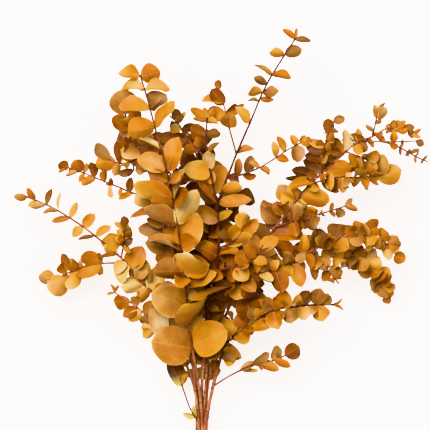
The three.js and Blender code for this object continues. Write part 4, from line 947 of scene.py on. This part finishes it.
# Gathers points, faces and what the materials read, for one mesh.
class Skin:
    def __init__(self):
        self.points, self.faces, self.places = [], [], []
        self.finishes, self.under = [], []
        self.marks = {"tone": [], "warmth": [], "dark": [], "fresh": []}
        self.count = 0

    # Points are (copies, n, 3), and the faces of one copy serve them all. The finish is a
    # material's place in the list. A mark is one number, or one for each point.
    def add(self, points, faces, places, finish, under=0, **marks):
        copies, n = points.shape[:2]
        shift = (np.arange(copies) * n + self.count)[:, None, None]
        self.points.append(points.reshape(-1, 3))
        self.faces.append((faces[None] + shift).reshape(-1, 4))
        self.places.append(np.broadcast_to(places, (copies, *places.shape)).reshape(-1, 4, 2))
        faceCount = copies * len(faces)
        self.finishes.append(np.full(faceCount, finish))
        self.under.append(np.tile(np.broadcast_to(under, len(faces)), copies).astype(float))
        for name, values in self.marks.items():
            values.append(np.broadcast_to(marks.get(name, 0), (copies, n)).ravel())
        self.count += copies * n

    # Corners that repeat the one before them are dropped, so that poles close with triangles.
    def build(self, name, materials):
        points = np.vstack(self.points) + toRow
        points[:, 2] = np.maximum(points[:, 2], meshRule["overFloor"])
        faces = np.vstack(self.faces)
        places = np.vstack(self.places)
        kept = faces != np.roll(faces, 1, axis=1)
        sizes = kept.sum(axis=1)
        mesh = bpy.data.meshes.new(name)
        mesh.vertices.add(len(points))
        mesh.vertices.foreach_set("co", (points / metre).ravel())
        mesh.loops.add(int(sizes.sum()))
        mesh.loops.foreach_set("vertex_index", faces[kept])
        mesh.polygons.add(len(sizes))
        mesh.polygons.foreach_set("loop_start", np.cumsum(sizes) - sizes)
        for material in materials:
            mesh.materials.append(material)
        mesh.polygons.foreach_set("material_index", np.concatenate(self.finishes))
        mesh.update(calc_edges=True)
        layer = mesh.uv_layers.new(name="surface")
        layer.uv.foreach_set("vector", places[kept].ravel())
        read = [(mark, values, "POINT") for mark, values in self.marks.items()]
        for mark, values, domain in read + [("under", self.under, "FACE")]:
            attribute = mesh.attributes.new(mark, "FLOAT", domain)
            attribute.data.foreach_set("value", np.concatenate(values).astype(np.float32))
        mesh.shade_smooth()
        mesh.set_sharp_from_angle(angle=math.radians(meshRule["sharpFrom"]))
        print(f"{name}: {len(points)} points, {int((sizes - 2).sum())} triangles")
        return newObject(name, mesh)


leafLook = {
    "thickness": 0.34,
    "ease": 1.2,  # how much of its cup and bend a smaller leaf shows, on a flat solid
    "fold": 0.42, "leastFold": -0.2,  # most that its halves fold up, over its width, and least over that
    "tipCurl": 0.3,  # most that its tip curls, over its length
    "twist": 0.34, "twistAt": 0.4,  # most that it turns about its rib, and from where
    "roll": 0.5,  # most that one half of it rolls over, over its width
    "calm": 0.3,  # a large leaf's share of these, and of those near one
    "calmReach": 0.36,  # how near, over the large leaf's length
    "ripple": 0.028,  # of its width, at its edge
    "uneven": 0.045,  # how far its outline wavers
    "stalk": 1.05,  # leafRule's, for the fuller foot of the real outline
    "point": 0.03,  # the small point at its tip, over its length
    "slender": 0.35,  # most that its ends are drawn out, as a power
    "sink": 0.12,  # how far a cupped small one is let down, over its width
    "flatShare": 0.15,  # a leaf on the floor shows this much of its form
    "smallGrid": (8, 4), "middlingGrid": (10, 6), "largeGrid": (14, 8),
    "ribStart": 0.42, "ribEnd": 0.1, "ribFor": 30,  # radius of the stalk and rib, and for what length
    "ribLeast": 0.55,  # the share of it that the shortest leaf has
    "ribReach": 0.86,  # of its length
    "ribUnder": 0.1,  # the leaf's middle
    "ribSides": 5, "ribStations": 7,
    "ribPale": 0.45,  # its tone, to which half the leaf's is added
    "toneSpread": 0.1,  # how far a leaf's tone is moved, either way
    "greenTo": 60, "paleOver": 30, "leastGreen": 0.45,  # along y, for a fresh twig's leaves
}


# The surface of many leaves at once, on a grid of t (foot 0 to tip 1) and u (rim -1 to rim 1):
# along = length x ((1 - cos turned) / 2) ^ stalk, side = half width x u x sin turned.
# Height = cup over the side, bend over the length, a fold at the rib, a curl at the tip, and
# waves round the edge.
def leafSurface(leaves, t, u, off=0):
    def column(key):
        return gather(leaves, key)[:, None, None]

    length, width, phase = column("length"), column("width"), column("phase")
    sign, away = np.sign(u)[None, None, :], np.abs(u)[None, None, :]
    angle = math.pi * t[None, :, None] * np.where(u < 0, -1, 1)[None, None, :]
    turned = angle + leafRule["skew"] * np.sin(angle)
    share = ((1 - np.cos(turned)) / 2) ** leafLook["stalk"]
    waver = 1 + leafLook["uneven"] * (
        np.sin(2 * angle + phase) + 0.4 * np.sin(3 * angle + 2.3 * phase)
    )
    y = away * np.abs(np.sin(turned)) ** (1 + column("slender")) * waver
    side = 0.5 * width * y * sign
    isTip = (t >= 1)[None, :, None]
    along = length * (share + leafLook["point"] * isTip)
    isLarge = length > leafRule["large"]
    ease = np.where(isLarge, 1, leafLook["ease"])
    belly = np.sin(math.pi * share)
    sunk = np.where(isLarge, 0, leafLook["sink"]) * width * column("cup") * belly
    height = ease * (0.5 * column("cup") * width * y**2 + column("bend") * length * share**2)
    height = height - sunk + column("fold") * width * y * belly
    height = height + column("curl") * length * share**3
    signed = y * sign
    height = height + column("twist") * width * signed * (share - leafLook["twistAt"])
    rolled = np.clip(signed * np.sign(column("roll")), 0, 1) ** 2
    height = height + np.abs(column("roll")) * 0.5 * width * rolled * belly
    height = height + leafRule["wave"] * width * away**2 * np.sin(3 * angle + phase)
    height = height + leafLook["ripple"] * width * away**4 * np.sin(5 * angle + 1.7 * phase)
    height = height * column("free") + off
    points = (
        column("foot") + along[..., None] * column("direction")
        + side[..., None] * column("across") + height[..., None] * column("upper")
    )
    flatPlaces = np.stack([
        0.5 + 0.5 * u[None, :] * np.abs(np.sin(turned[0])), share[0] + 0 * u[None, :],
    ], axis=2)
    return points, flatPlaces


# Both faces of a leaf meet at its rim: the rim and the two ends are shared.
def addLeaves(skin, leaves, rows, columns):
    t = np.linspace(0, 1, rows + 1)
    u = np.linspace(-1, 1, columns + 1)
    thin = (1 - np.abs(u) ** 3)[None, :] * np.sin(math.pi * t)[:, None] ** 0.5
    half = leafLook["thickness"] / 2 * thin
    upper, places = leafSurface(leaves, t, u, half)
    lower, _ = leafSurface(leaves, t, u, -half)
    size = (rows + 1) * (columns + 1)
    top = np.arange(size).reshape(rows + 1, columns + 1)
    top[0], top[-1] = top[0, 0], top[-1, 0]
    bottom = top + size
    bottom[0], bottom[-1] = top[0], top[-1]
    bottom[:, 0], bottom[:, -1] = top[:, 0], top[:, -1]
    used, renumbered = np.unique(np.stack([top, bottom]), return_inverse=True)
    top, bottom = renumbered.reshape(2, rows + 1, columns + 1)
    points = np.concatenate([face.reshape(len(leaves), -1, 3) for face in (upper, lower)], 1)
    topFaces, topPlaces = gridFaces(top, places)
    bottomFaces, bottomPlaces = gridFaces(bottom, places)
    wound = [0, 3, 2, 1]  # the other way round, split into the same triangles
    bottomFaces, bottomPlaces = bottomFaces[:, wound], bottomPlaces[:, wound]
    under = np.repeat([0, 1], len(topFaces))
    marks = {key: gather(leaves, key)[:, None] for key in skin.marks}
    faces, facePlaces = np.vstack([topFaces, bottomFaces]), np.vstack([topPlaces, bottomPlaces])
    skin.add(points[:, used], faces, facePlaces, 0, under, **marks)


# Numbers of a closed rod's points: rings of points between one point at each end.
def rodGrid(rings, sides):
    body = 1 + np.arange(rings * sides).reshape(rings, sides)
    body = np.hstack([body, body[:, :1]])
    first = np.zeros((1, sides + 1), int)
    last = np.full((1, sides + 1), 1 + rings * sides)
    return np.vstack([first, body, last])


# Closed rods: rings of points round each line, between one point at each end. The lines are
# (copies, stations, 3) and the radii (copies, stations, sides). Point = centre + radius x ring.
def addRods(skin, centres, radii, side, top, along, **marks):
    copies, stations, sides = radii.shape
    rings = centres[..., None, :] + ringOf(sides, side, top) * radii[..., None]
    points = np.concatenate([centres[:, :1], rings.reshape(copies, -1, 3), centres[:, -1:]], axis=1)
    places = np.stack(np.meshgrid(np.arange(sides + 1) / sides, along), 2)
    faces, facePlaces = gridFaces(rodGrid(stations, sides), places)
    skin.add(points, faces, facePlaces, 1, **marks)


# The leaf's stalk runs from the heart of the stem along the leaf's rib, ever thinner.
def addRibs(skin, leaves):
    stations, sides = leafLook["ribStations"], leafLook["ribSides"]
    t = np.linspace(0, leafLook["ribReach"], stations - 1)
    line, _ = leafSurface(leaves, t, np.zeros(1), -leafLook["ribUnder"])
    centres = np.concatenate([gather(leaves, "heart")[:, None], line[:, :, 0]], axis=1)
    size = mix(leafLook["ribLeast"], 1, gather(leaves, "length")[:, None] / leafLook["ribFor"])
    radii = np.linspace(leafLook["ribStart"], leafLook["ribEnd"], stations)[None] * size
    radii = radii[..., None] * np.ones(sides)
    across, upper = gather(leaves, "across")[:, None], gather(leaves, "upper")[:, None]
    along = np.arange(stations + 2) / stations
    tone = leafLook["ribPale"] + 0.5 * gather(leaves, "tone")[:, None]
    addRods(skin, centres, radii, -upper, across, along, tone=tone, warmth=0.5, dark=0)


stemLook = {
    "step": 4.0,  # between rings
    "mainSides": 10, "twigSides": 7,
    "stout": 0.16,  # how far the thin ends come nearer to the foot's radius
    "nodeReach": 1.1,  # half a node's length
    "nodeRings": (-2, -1, -0.4, 0, 0.4, 1, 2),  # places of its rings, over that
    "nodeDark": 0.6,  # the reach of its dark ring, over that
    "nodeSwell": 0.2,  # how far it stands out, over the radius
    "endRoom": 0.5,  # without a node's rings, at each end of a branch
    "leastStep": 0.25,  # between rings
    "bareNodes": (14, 48), "bareCount": 6,  # how far apart the nodes of the bare stem are
    "paleTo": 150, "fade": 90, "paleTone": 0.72,  # it is paler at its foot
    "twigTone": 0.45,
    "uneven": 0.05, "ridges": (23, 9),  # the ridges' height over the radius, and how slowly they turn
}


# A smooth line through a branch's points: at each, its slope is its neighbours' by length.
def smoothLine(branch, stretch, share):
    points, lengths = branch["points"], branch["lengths"]
    slopes = np.diff(points, axis=0) / lengths[:, None]
    bends = np.empty_like(points)
    bends[0], bends[-1] = slopes[0], slopes[-1]
    before, after = lengths[:-1, None], lengths[1:, None]
    bends[1:-1] = (after * slopes[:-1] + before * slopes[1:]) / (before + after)
    stretch = np.asarray(stretch)
    s = np.asarray(share, float)[..., None]
    reach = lengths[stretch][..., None]
    start, end = points[stretch], points[stretch + 1]
    return (
        (2 * s**3 - 3 * s**2 + 1) * start + (s**3 - 2 * s**2 + s) * reach * bends[stretch]
        + (3 * s**2 - 2 * s**3) * end + (s**3 - s**2) * reach * bends[stretch + 1]
    )


# A rod round a smooth branch: radius x (1 + swelling at each node), with slight ridges. It is
# darker round each node.
def addBranch(skin, branch, sides, random, tone, warmth):
    starts = np.concatenate([[0], np.cumsum(branch["lengths"])])
    whole = starts[-1]
    nodes = np.array([starts[i] + share * branch["lengths"][i] for i, share in branch["nodes"]])
    if "bare" in branch:
        nodes = np.append(nodes, branch["bare"])
    reach = stemLook["nodeReach"]
    near = (nodes[:, None] + reach * np.array(stemLook["nodeRings"])).ravel()
    near = near[(near > stemLook["endRoom"]) & (near < whole - stemLook["endRoom"])]
    even = np.linspace(0, whole, max(int(whole / stemLook["step"]), 3))
    stations = np.unique(np.round(np.concatenate([even, near]), 1))
    stations = stations[np.append(True, np.diff(stations) > stemLook["leastStep"])]
    stations[-1] = whole
    stretch = np.searchsorted(starts, stations, side="right") - 1
    stretch = np.clip(stretch, 0, len(branch["lengths"]) - 1)
    share = (stations - starts[stretch]) / branch["lengths"][stretch]
    centres = smoothLine(branch, stretch, share)
    radii = mix(branch["radii"][stretch], branch["radii"][stretch + 1], share)
    radii = mix(radii, bundle["stemDiameter"] / 2, stemLook["stout"])
    away = stations[:, None] - nodes
    bump, ring = (
        np.exp(-((away / width) ** 2)).max(axis=1, initial=0)
        for width in (reach, stemLook["nodeDark"] * reach)
    )
    phase = random.uniform(0, 2 * math.pi, 3)
    angle = 2 * math.pi * np.arange(sides) / sides
    slow, quick = stemLook["ridges"]
    ridges = np.sin(3 * angle[None] + stations[:, None] / slow + phase[0])
    ridges = ridges + np.sin(2 * angle[None] - stations[:, None] / quick + phase[1])
    swollen = 1 + stemLook["nodeSwell"] * bump[:, None] + stemLook["uneven"] * ridges / 2
    radii = radii[:, None] * swollen
    side, top = acrossFrames(centres)
    along = np.concatenate([[-1], stations / metre, [whole / metre]])
    dark = np.concatenate([[0], np.repeat(ring, sides), [0]])
    held = np.clip((stations - stemLook["paleTo"]) / stemLook["fade"], 0, 1) if "bare" in branch else 1
    tones = mix(stemLook["paleTone"], tone, held) + 0 * stations
    tones = np.concatenate([tones[:1], np.repeat(tones, sides), tones[-1:]])
    addRods(
        skin, centres[None], radii[None], side[None], top[None], along,
        tone=tones, warmth=warmth, dark=dark,
    )


# Half way along a leaf's rib.
def middleOf(leaf):
    return leaf["foot"] + leaf["direction"] * leaf["length"] / 2


allLeaves = [leaf for piece in grown for leaf in piece["leaves"]]
largeLeaves = [leaf for leaf in allLeaves if leaf["length"] > leafRule["large"]]
largeMiddles = np.array([middleOf(leaf) for leaf in largeLeaves])
largeReach = gather(largeLeaves, "length") * leafLook["calmReach"]


# Each leaf moves with the smooth line from the straight one, and gets what only shows. The
# large leaves and those close to one are calm, or one would cut through the other.
def dressLeaves(piece, random):
    freshTwig = piece["stem"].get("freshTwig")
    for leaf in piece["leaves"]:
        branch = leaf["branch"]
        heart = smoothLine(branch, leaf["stretch"], leaf["share"])
        isFlat = leaf["cup"] == 0
        if not isFlat:
            leaf["foot"] = leaf["foot"] + heart - leaf["root"]
        leaf["heart"] = heart
        leaf["free"] = leafLook["flatShare"] if isFlat else 1
        isNear = np.linalg.norm(largeMiddles - middleOf(leaf), axis=1) < largeReach
        calm = leafLook["calm"] if isNear.any() else 1
        leaf["fold"] = calm * leafLook["fold"] * random.uniform(leafLook["leastFold"], 1)
        leaf["slender"] = calm * leafLook["slender"] * random.uniform(0, 1) ** 1.5
        leaf["curl"] = calm * leafLook["tipCurl"] * random.uniform(-1, 1) ** 3
        leaf["twist"] = calm * leafLook["twist"] * random.uniform(-1, 1)
        leaf["roll"] = calm * leafLook["roll"] * random.uniform(-1, 1) ** 3
        change = random.uniform(-leafLook["toneSpread"], leafLook["toneSpread"])
        leaf["tone"] = np.clip(leaf["tone"] + change, 0, 1)
        isFresh = freshTwig is not None and branch is piece["branches"][freshTwig]
        paled = np.clip((leaf["root"][1] - leafLook["greenTo"]) / leafLook["paleOver"], 0, 1)
        leaf["fresh"] = mix(1, leafLook["leastGreen"], paled) if isFresh else 0
        leaf["warmth"] = random.uniform(0, 1)
        leaf["dark"] = random.uniform(0, 1) ** 2


# One stem with all that grows on it, as one mesh.
def leafyStem(piece, index, materials):
    random = np.random.default_rng(leafRule["lookSeed"] + index)
    skin = Skin()
    dressLeaves(piece, random)
    main = piece["branches"][0]
    main["bare"] = np.cumsum(random.uniform(*stemLook["bareNodes"], stemLook["bareCount"]))
    for k, branch in enumerate(piece["branches"]):
        sides = stemLook["mainSides"] if k == 0 else stemLook["twigSides"]
        stemTone = piece["stem"]["tone"] if k == 0 else stemLook["twigTone"]
        addBranch(skin, branch, sides, random, stemTone, random.uniform(0, 1))
    steps = (0, leafRule["middling"], leafRule["large"], math.inf)
    for shortest, longest, size in zip(steps, steps[1:], ("small", "middling", "large")):
        group = [leaf for leaf in piece["leaves"] if shortest < leaf["length"] <= longest]
        if group:
            addLeaves(skin, group, *leafLook[size + "Grid"])
    addRibs(skin, piece["leaves"])
    name = piece["stem"]["name"]
    made = skin.build(f"dressed_{name}", materials)
    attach(made, "root")
    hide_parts(name)
    return made


bandLook = {
    "turns": 3,
    "strandWidth": 2.0, "strandThickness": 0.72,
    "spread": 2.3,  # how far the turns sway along the stems
    "lift": 1.0,  # of their middle off the stems
    "cross": 0.39,  # how far they lie over and under that
    "bend": 6, "straight": 3,  # steps round each corner of the outline, and on to the next
}


# One endless rubber band wound three times: with turn = t / 3 it runs along the outline of the
# ten stems, sways across by -cos turn and lies under or over itself by sin turn.
def elasticBand(material):
    look = bandLook
    corners = np.array([(1, -1), (1.5, 0), (1, 1), (-1, 1), (-1.5, 0), (-1, -1)]) * [pitch, layer]
    perCorner = look["bend"] + look["straight"]
    total = 6 * perCorner * look["turns"]
    k = np.arange(total)
    corner, step = np.divmod(k % (6 * perCorner), perCorner)
    turning = np.minimum(step / look["bend"], 1)  # round the corner first, then straight on
    angle = (corner - 1.5 + turning) * math.pi / 3
    radius = bundle["stemDiameter"] / 2 + bundle["stemGap"]
    turn = 2 * math.pi * k / total
    lift = radius + look["lift"] - bundle["stemGap"] + look["cross"] * np.sin(turn)
    outward = np.stack([np.cos(angle), np.sin(angle)], 1)
    straight = np.maximum(step - look["bend"], 0) / look["straight"]
    base = mix(corners[corner], corners[(corner + 1) % 6], straight[:, None])
    ring = base + outward * lift[:, None]
    sway = -look["spread"] * np.cos(turn)
    profile = np.array([(-1, -0.5), (-0.8, -1), (0.8, -1), (1, -0.5)])
    profile = np.concatenate([profile, -profile]) * [look["strandWidth"] / 2, look["strandThickness"] / 2]
    acrossPart = sway[:, None] + profile[None, :, 0]
    section = ring[:, None] + outward[:, None] * profile[None, :, 1, None]
    local = np.stack([section[..., 0], acrossPart, section[..., 1]], 2).reshape(-1, 3)
    tilt = math.atan(bundle["slope"])
    x = bundle["middle"] + local[:, 0]
    y = local[:, 1] * math.cos(tilt) - local[:, 2] * math.sin(tilt)
    z = bundle["height"] + local[:, 1] * math.sin(tilt) + local[:, 2] * math.cos(tilt)
    sides = len(profile)
    numbers = np.arange(total * sides).reshape(total, sides)
    numbers = np.vstack([numbers, numbers[:1]])
    numbers = np.hstack([numbers, numbers[:, :1]])
    places = np.stack(np.meshgrid(np.arange(sides + 1) / sides, np.arange(total + 1) / total), 2)
    faces, facePlaces = gridFaces(numbers, places)
    skin = Skin()
    skin.add(np.stack([x, y, z], 1)[None], faces, facePlaces, 0)
    made = skin.build("dressed_elastic_band", [material])
    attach(made, "root")
    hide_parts("elastic_band")
    return made


# One output of a node. Arithmetic on it adds Math nodes.
class Value:
    def __init__(self, finish, socket):
        self.finish, self.socket = finish, socket

    def math(self, operation, *values):
        return self.finish.node("ShaderNodeMath", {"operation": operation}, dict(enumerate(values)))

    def __add__(self, other):
        return self.math("ADD", self, other)

    def __radd__(self, other):
        return self.math("ADD", other, self)

    def __sub__(self, other):
        return self.math("SUBTRACT", self, other)

    def __rsub__(self, other):
        return self.math("SUBTRACT", other, self)

    def __mul__(self, other):
        return self.math("MULTIPLY", self, other)

    def __rmul__(self, other):
        return self.math("MULTIPLY", other, self)

    def __pow__(self, other):
        return self.math("POWER", self, other)

    def __abs__(self):
        return self.math("ABSOLUTE", self)

    # 0 below start, 1 above end, smooth between them
    def step(self, start, end):
        settings = {"interpolation_type": "SMOOTHSTEP"}
        inputs = {"Value": self, "From Min": start, "From Max": end}
        return self.finish.node("ShaderNodeMapRange", settings, inputs)


# One material and its nodes.
class Finish:
    def __init__(self, name):
        self.material = bpy.data.materials.new(name)
        self.material.use_nodes = True
        self.tree = self.material.node_tree
        self.tree.nodes.clear()

    # Adds a node: its settings first, then its inputs' values or links. Gives one of its outputs.
    def node(self, kind, settings=None, inputs=None, output=0):
        node = self.tree.nodes.new(kind)
        for key, value in (settings or {}).items():
            if key == "stops":
                self.setStops(node.color_ramp, value)
            else:
                setattr(node, key, value)
        for key, value in (inputs or {}).items():
            if isinstance(value, Value):
                self.tree.links.new(value.socket, node.inputs[key])
            else:
                node.inputs[key].default_value = value
        return Value(self, node.outputs[output])

    def setStops(self, ramp, stops):
        while len(ramp.elements) < len(stops):
            ramp.elements.new(0.5)
        for element, (place, colour) in zip(ramp.elements, stops):
            element.position = place
            element.color = linear(colour)

    def mark(self, name):
        return self.node("ShaderNodeAttribute", {"attribute_name": name}, output="Fac")

    def noise(self, place, scale, detail, roughness=0.5):
        inputs = {"Vector": place, "Scale": scale, "Detail": detail, "Roughness": roughness}
        return self.node("ShaderNodeTexNoise", None, inputs)

    def ramp(self, share, stops):
        return self.node("ShaderNodeValToRGB", {"stops": stops}, {"Fac": share})

    def blend(self, share, first, second):
        return self.node("ShaderNodeMix", {"data_type": "RGBA"}, {0: share, 6: first, 7: second}, 2)

    # The two places on a piece's surface, from its UV map.
    def places(self):
        flat = self.node("ShaderNodeUVMap", {"uv_map": "surface"})
        return [self.node("ShaderNodeSeparateXYZ", None, {0: flat}, k) for k in (0, 1)]

    def end(self, colour, roughness, bump, distance, specular):
        normal = self.node("ShaderNodeBump", None, {"Height": bump, "Distance": distance, "Strength": 1.0})
        return self.show({
            "Base Color": colour, "Roughness": roughness, "Normal": normal,
            "Specular IOR Level": specular,
        })

    def show(self, inputs):
        shader = self.node("ShaderNodeBsdfPrincipled", None, inputs)
        output = self.tree.nodes.new("ShaderNodeOutputMaterial")
        self.tree.links.new(shader.socket, output.inputs["Surface"])
        return self.material


# An sRGB colour of 0 to 255 as Blender's linear one.
def linear(colour):
    shares = [part / 255 for part in colour]
    return tuple(
        share / 12.92 if share <= 0.04045 else ((share + 0.055) / 1.055) ** 2.4 for share in shares
    ) + (1.0,)


leafFinish = {
    "vivid": [
        (0.0, (40, 13, 1)), (0.25, (98, 46, 2)), (0.5, (147, 86, 11)), (0.75, (177, 128, 43)),
        (1.0, (205, 177, 112)),
    ],
    "dull": [
        (0.0, (46, 22, 10)), (0.25, (92, 56, 24)), (0.5, (134, 94, 48)), (0.75, (164, 130, 84)),
        (1.0, (200, 178, 136)),
    ],
    "vein": (188, 136, 66),
    "spot": (70, 34, 8),
    "red": (136, 66, 14),
    "fresh": (170, 152, 76),
    "veins": 9,  # side veins on each half
    "cloud": 24, "mottle": 55, "spots": 260, "grain": 420, "net": 700,  # to a metre
    "relief": 0.0005,  # in metres
}


# The colour runs from dark to pale with the tone, two sizes of cloud, a slope over the leaf and
# its rim. The slope across the rib is partly painted shade, one half of the leaf lit and the other
# in shade, and partly the leaf's own uneven tone; the paler rim is a painted highlight. It is mixed
# from a vivid and a dull range, then reddened, veined, greened and spotted.
def leafMaterial():
    look = leafFinish
    finish = Finish("dried_leaf")
    place = finish.node("ShaderNodeTexCoord", output="Object")
    u, v = finish.places()
    across = abs(u * 2 - 1)
    tone, warmth = finish.mark("tone"), finish.mark("warmth")
    under, age = finish.mark("under"), finish.mark("dark")
    mottle = finish.noise(place, look["mottle"], 3)
    grain = finish.noise(place, look["grain"], 3, 0.6)
    # The rim's mask: it fades the veins and carries the painted highlight on the leaf's edge.
    rim = ((v * 2 - 1) ** 2 + across**2).step(0.7, 1.0)
    veinLine = v * look["veins"] - across * (2.6 + mottle * 0.6) + 0.35 * mottle
    veins = (abs(veinLine.math("FRACT", veinLine) - 0.5) * 2).step(0.8, 1.0) * (1 - rim * 0.8)
    rib = 1 - across.step(0.015, 0.07)
    settings, inputs = {"feature": "DISTANCE_TO_EDGE"}, {"Vector": place, "Scale": look["net"]}
    net = 1 - finish.node("ShaderNodeTexVoronoi", settings, inputs).step(0.0, 0.12)
    cloud = finish.noise(place, look["cloud"], 2)
    shade = tone + (mottle - 0.5) * 0.5 + (cloud - 0.5) * 0.5 + (grain - 0.5) * 0.12
    # One half of the leaf across its rib is darker than the other: partly painted shade, as of a fold with
    # one half in shade, and partly its own uneven tone. It also grows darker towards its foot or its tip.
    shade = shade + (u - 0.5) * (warmth - 0.5) * 0.6 + (v - 0.5) * (age - 0.2) * 0.5
    # The rim is made paler: a painted highlight where light catches the leaf's edge.
    shade = shade + rim * 0.08 - under * 0.02
    dulled = (0.42 - warmth) * 2.4 - (tone - 0.5) * 1.6 + (cloud - 0.5) * 1.2 + under * 0.3
    colour = finish.blend(dulled, finish.ramp(shade, look["vivid"]), finish.ramp(shade, look["dull"]))
    colour = finish.blend((warmth - 0.6) * 0.6 + (mottle - 0.5) * 0.2, colour, linear(look["red"]))
    colour = finish.blend(veins * 0.14 + rib * 0.2 + net * 0.08, colour, linear(look["vein"]))
    fresh = finish.mark("fresh") * 2.2 - v * 2.5 + (mottle - 0.5)
    colour = finish.blend(fresh, colour, linear(look["fresh"]))
    spots = finish.noise(place, look["spots"], 4, 0.65).step(0.64, 0.8) * age
    colour = finish.blend(spots * 0.35, colour, linear(look["spot"]))
    roughness = 0.46 + under * 0.22 + (grain - 0.5) * 0.2 + spots * 0.1
    bump = grain * 0.35 + mottle * 1.4 - veins * 0.12 + rib * 0.2 - net * 0.1
    return finish.end(colour, roughness, bump, look["relief"], 0.2)


stemFinish = {
    "stops": [
        (0.0, (34, 10, 6)), (0.3, (74, 30, 18)), (0.6, (126, 70, 46)), (0.85, (160, 108, 76)),
        (1.0, (192, 146, 106)),
    ],
    "node": (44, 24, 16),
    "olive": (128, 112, 52),
    "cut": (214, 180, 128),
    "green": 35, "mottle": 90, "fibre": (1400, 160, 1400),  # to a metre
    "relief": 0.0004,  # in metres
}


# The colour runs with the tone, clouds and fibres along the stem, with green patches, darker
# nodes and a pale cut end, whose place along the stem is -1.
def stemMaterial():
    look = stemFinish
    finish = Finish("dried_stem")
    place = finish.node("ShaderNodeTexCoord", output="Object")
    v = finish.places()[1]
    tone, warmth, dark = finish.mark("tone"), finish.mark("warmth"), finish.mark("dark")
    mottle = finish.noise(place, look["mottle"], 3)
    stretched = finish.node("ShaderNodeMapping", None, {"Vector": place, "Scale": look["fibre"]})
    fibre = finish.noise(stretched, 1, 3, 0.6)
    shade = tone + (mottle - 0.5) * 0.8 + (fibre - 0.5) * 0.8
    colour = finish.ramp(shade, look["stops"])
    green = finish.noise(place, look["green"], 2).step(0.52, 0.66) * warmth
    colour = finish.blend(green * 0.7, colour, linear(look["olive"]))
    colour = finish.blend(dark * 0.75, colour, linear(look["node"]))
    colour = finish.blend(1 - v.step(-0.5, -0.2), colour, linear(look["cut"]))
    roughness = 0.55 + (fibre - 0.5) * 0.3
    bump = fibre * 0.6 + mottle * 0.5 + dark * 0.5
    return finish.end(colour, roughness, bump, look["relief"], 0.2)


bandFinish = {
    "colour": (196, 158, 104), "worn": (168, 124, 76),
    "mottle": 300, "grain": 2500,  # to a metre
    "relief": 0.0001,  # in metres
}


# Rubber that is worn in clouds, with a fine grain.
def bandMaterial():
    look = bandFinish
    finish = Finish("rubber_band")
    place = finish.node("ShaderNodeTexCoord", output="Object")
    mottle = finish.noise(place, look["mottle"], 3)
    grain = finish.noise(place, look["grain"], 2)
    colour = finish.blend(mottle, linear(look["colour"]), linear(look["worn"]))
    roughness = 0.5 + (mottle - 0.5) * 0.2
    return finish.end(colour, roughness, grain, look["relief"], 0.5)


stage = {
    "floorSize": 6.0,  # in metres
    "floor": (249, 248, 247),
    "glow": 1.2,  # it is lit from below too, as a light table is
    "middle": (14.4, 298, 90),  # what the photograph's middle shows
    "distance": 6000,
    "across": 516,  # what the photograph's width shows there
    "furthest": 20,  # that the camera sees, in metres
    "sky": 0.36,
    # The lamps' places and sizes are in metres.
    "keyPower": 200, "keyFrom": (-0.8, 1.1, 2.6), "keySize": 1.6,
    "fillPower": 24, "fillFrom": (1.6, -0.8, 1.5), "fillSize": 1.6,
}


def floorPlane():
    half = stage["floorSize"] / 2
    mesh = bpy.data.meshes.new("floor")
    corners = [(-half, -half, 0), (half, -half, 0), (half, half, 0), (-half, half, 0)]
    mesh.from_pydata(corners, [], [(0, 1, 2, 3)])
    mesh.materials.append(Finish("pale_floor").show({
        "Base Color": linear(stage["floor"]), "Roughness": 0.8, "Specular IOR Level": 0.2,
        "Emission Color": linear(stage["floor"]), "Emission Strength": stage["glow"],
    }))
    floor = newObject("floor", mesh)


# A square lamp that faces the middle of the floor.
def softLight(name, power, start, size):
    light = bpy.data.lights.new(name, "AREA")
    light.energy, light.size = power, size
    lamp = newObject(name, light)
    lamp.location = start
    lamp.rotation_mode = "QUATERNION"
    lamp.rotation_quaternion = lamp.location.to_track_quat("Z", "Y")


def studio():
    floorPlane()
    world = bpy.data.worlds.new("studio")
    world.use_nodes = True
    background = world.node_tree.nodes["Background"]
    background.inputs["Color"].default_value = (1, 1, 1, 1)
    background.inputs["Strength"].default_value = stage["sky"]
    bpy.context.scene.world = world
    softLight("key_light", stage["keyPower"], stage["keyFrom"], stage["keySize"])
    softLight("fill_light", stage["fillPower"], stage["fillFrom"], stage["fillSize"])
    bpy.context.scene.view_settings.view_transform = "Khronos PBR Neutral"


# It looks straight down from far off, so that the bunch shows as in the photograph.
def camera():
    data = bpy.data.cameras.new("camera")
    data.lens = data.sensor_width * stage["distance"] / stage["across"]
    data.clip_end = stage["furthest"]
    eye = newObject("camera", data)
    eye.location = (np.array(stage["middle"]) + toRow + [0, 0, stage["distance"]]) / metre
    bpy.context.scene.camera = eye


camera()
studio()
print(f"studio: a floor of {stage['floorSize']} m, two soft lights and the camera")
stemMaterials = [leafMaterial(), stemMaterial()]
for index, piece in enumerate(grown):
    leafyStem(piece, index, stemMaterials)
elasticBand(bandMaterial())
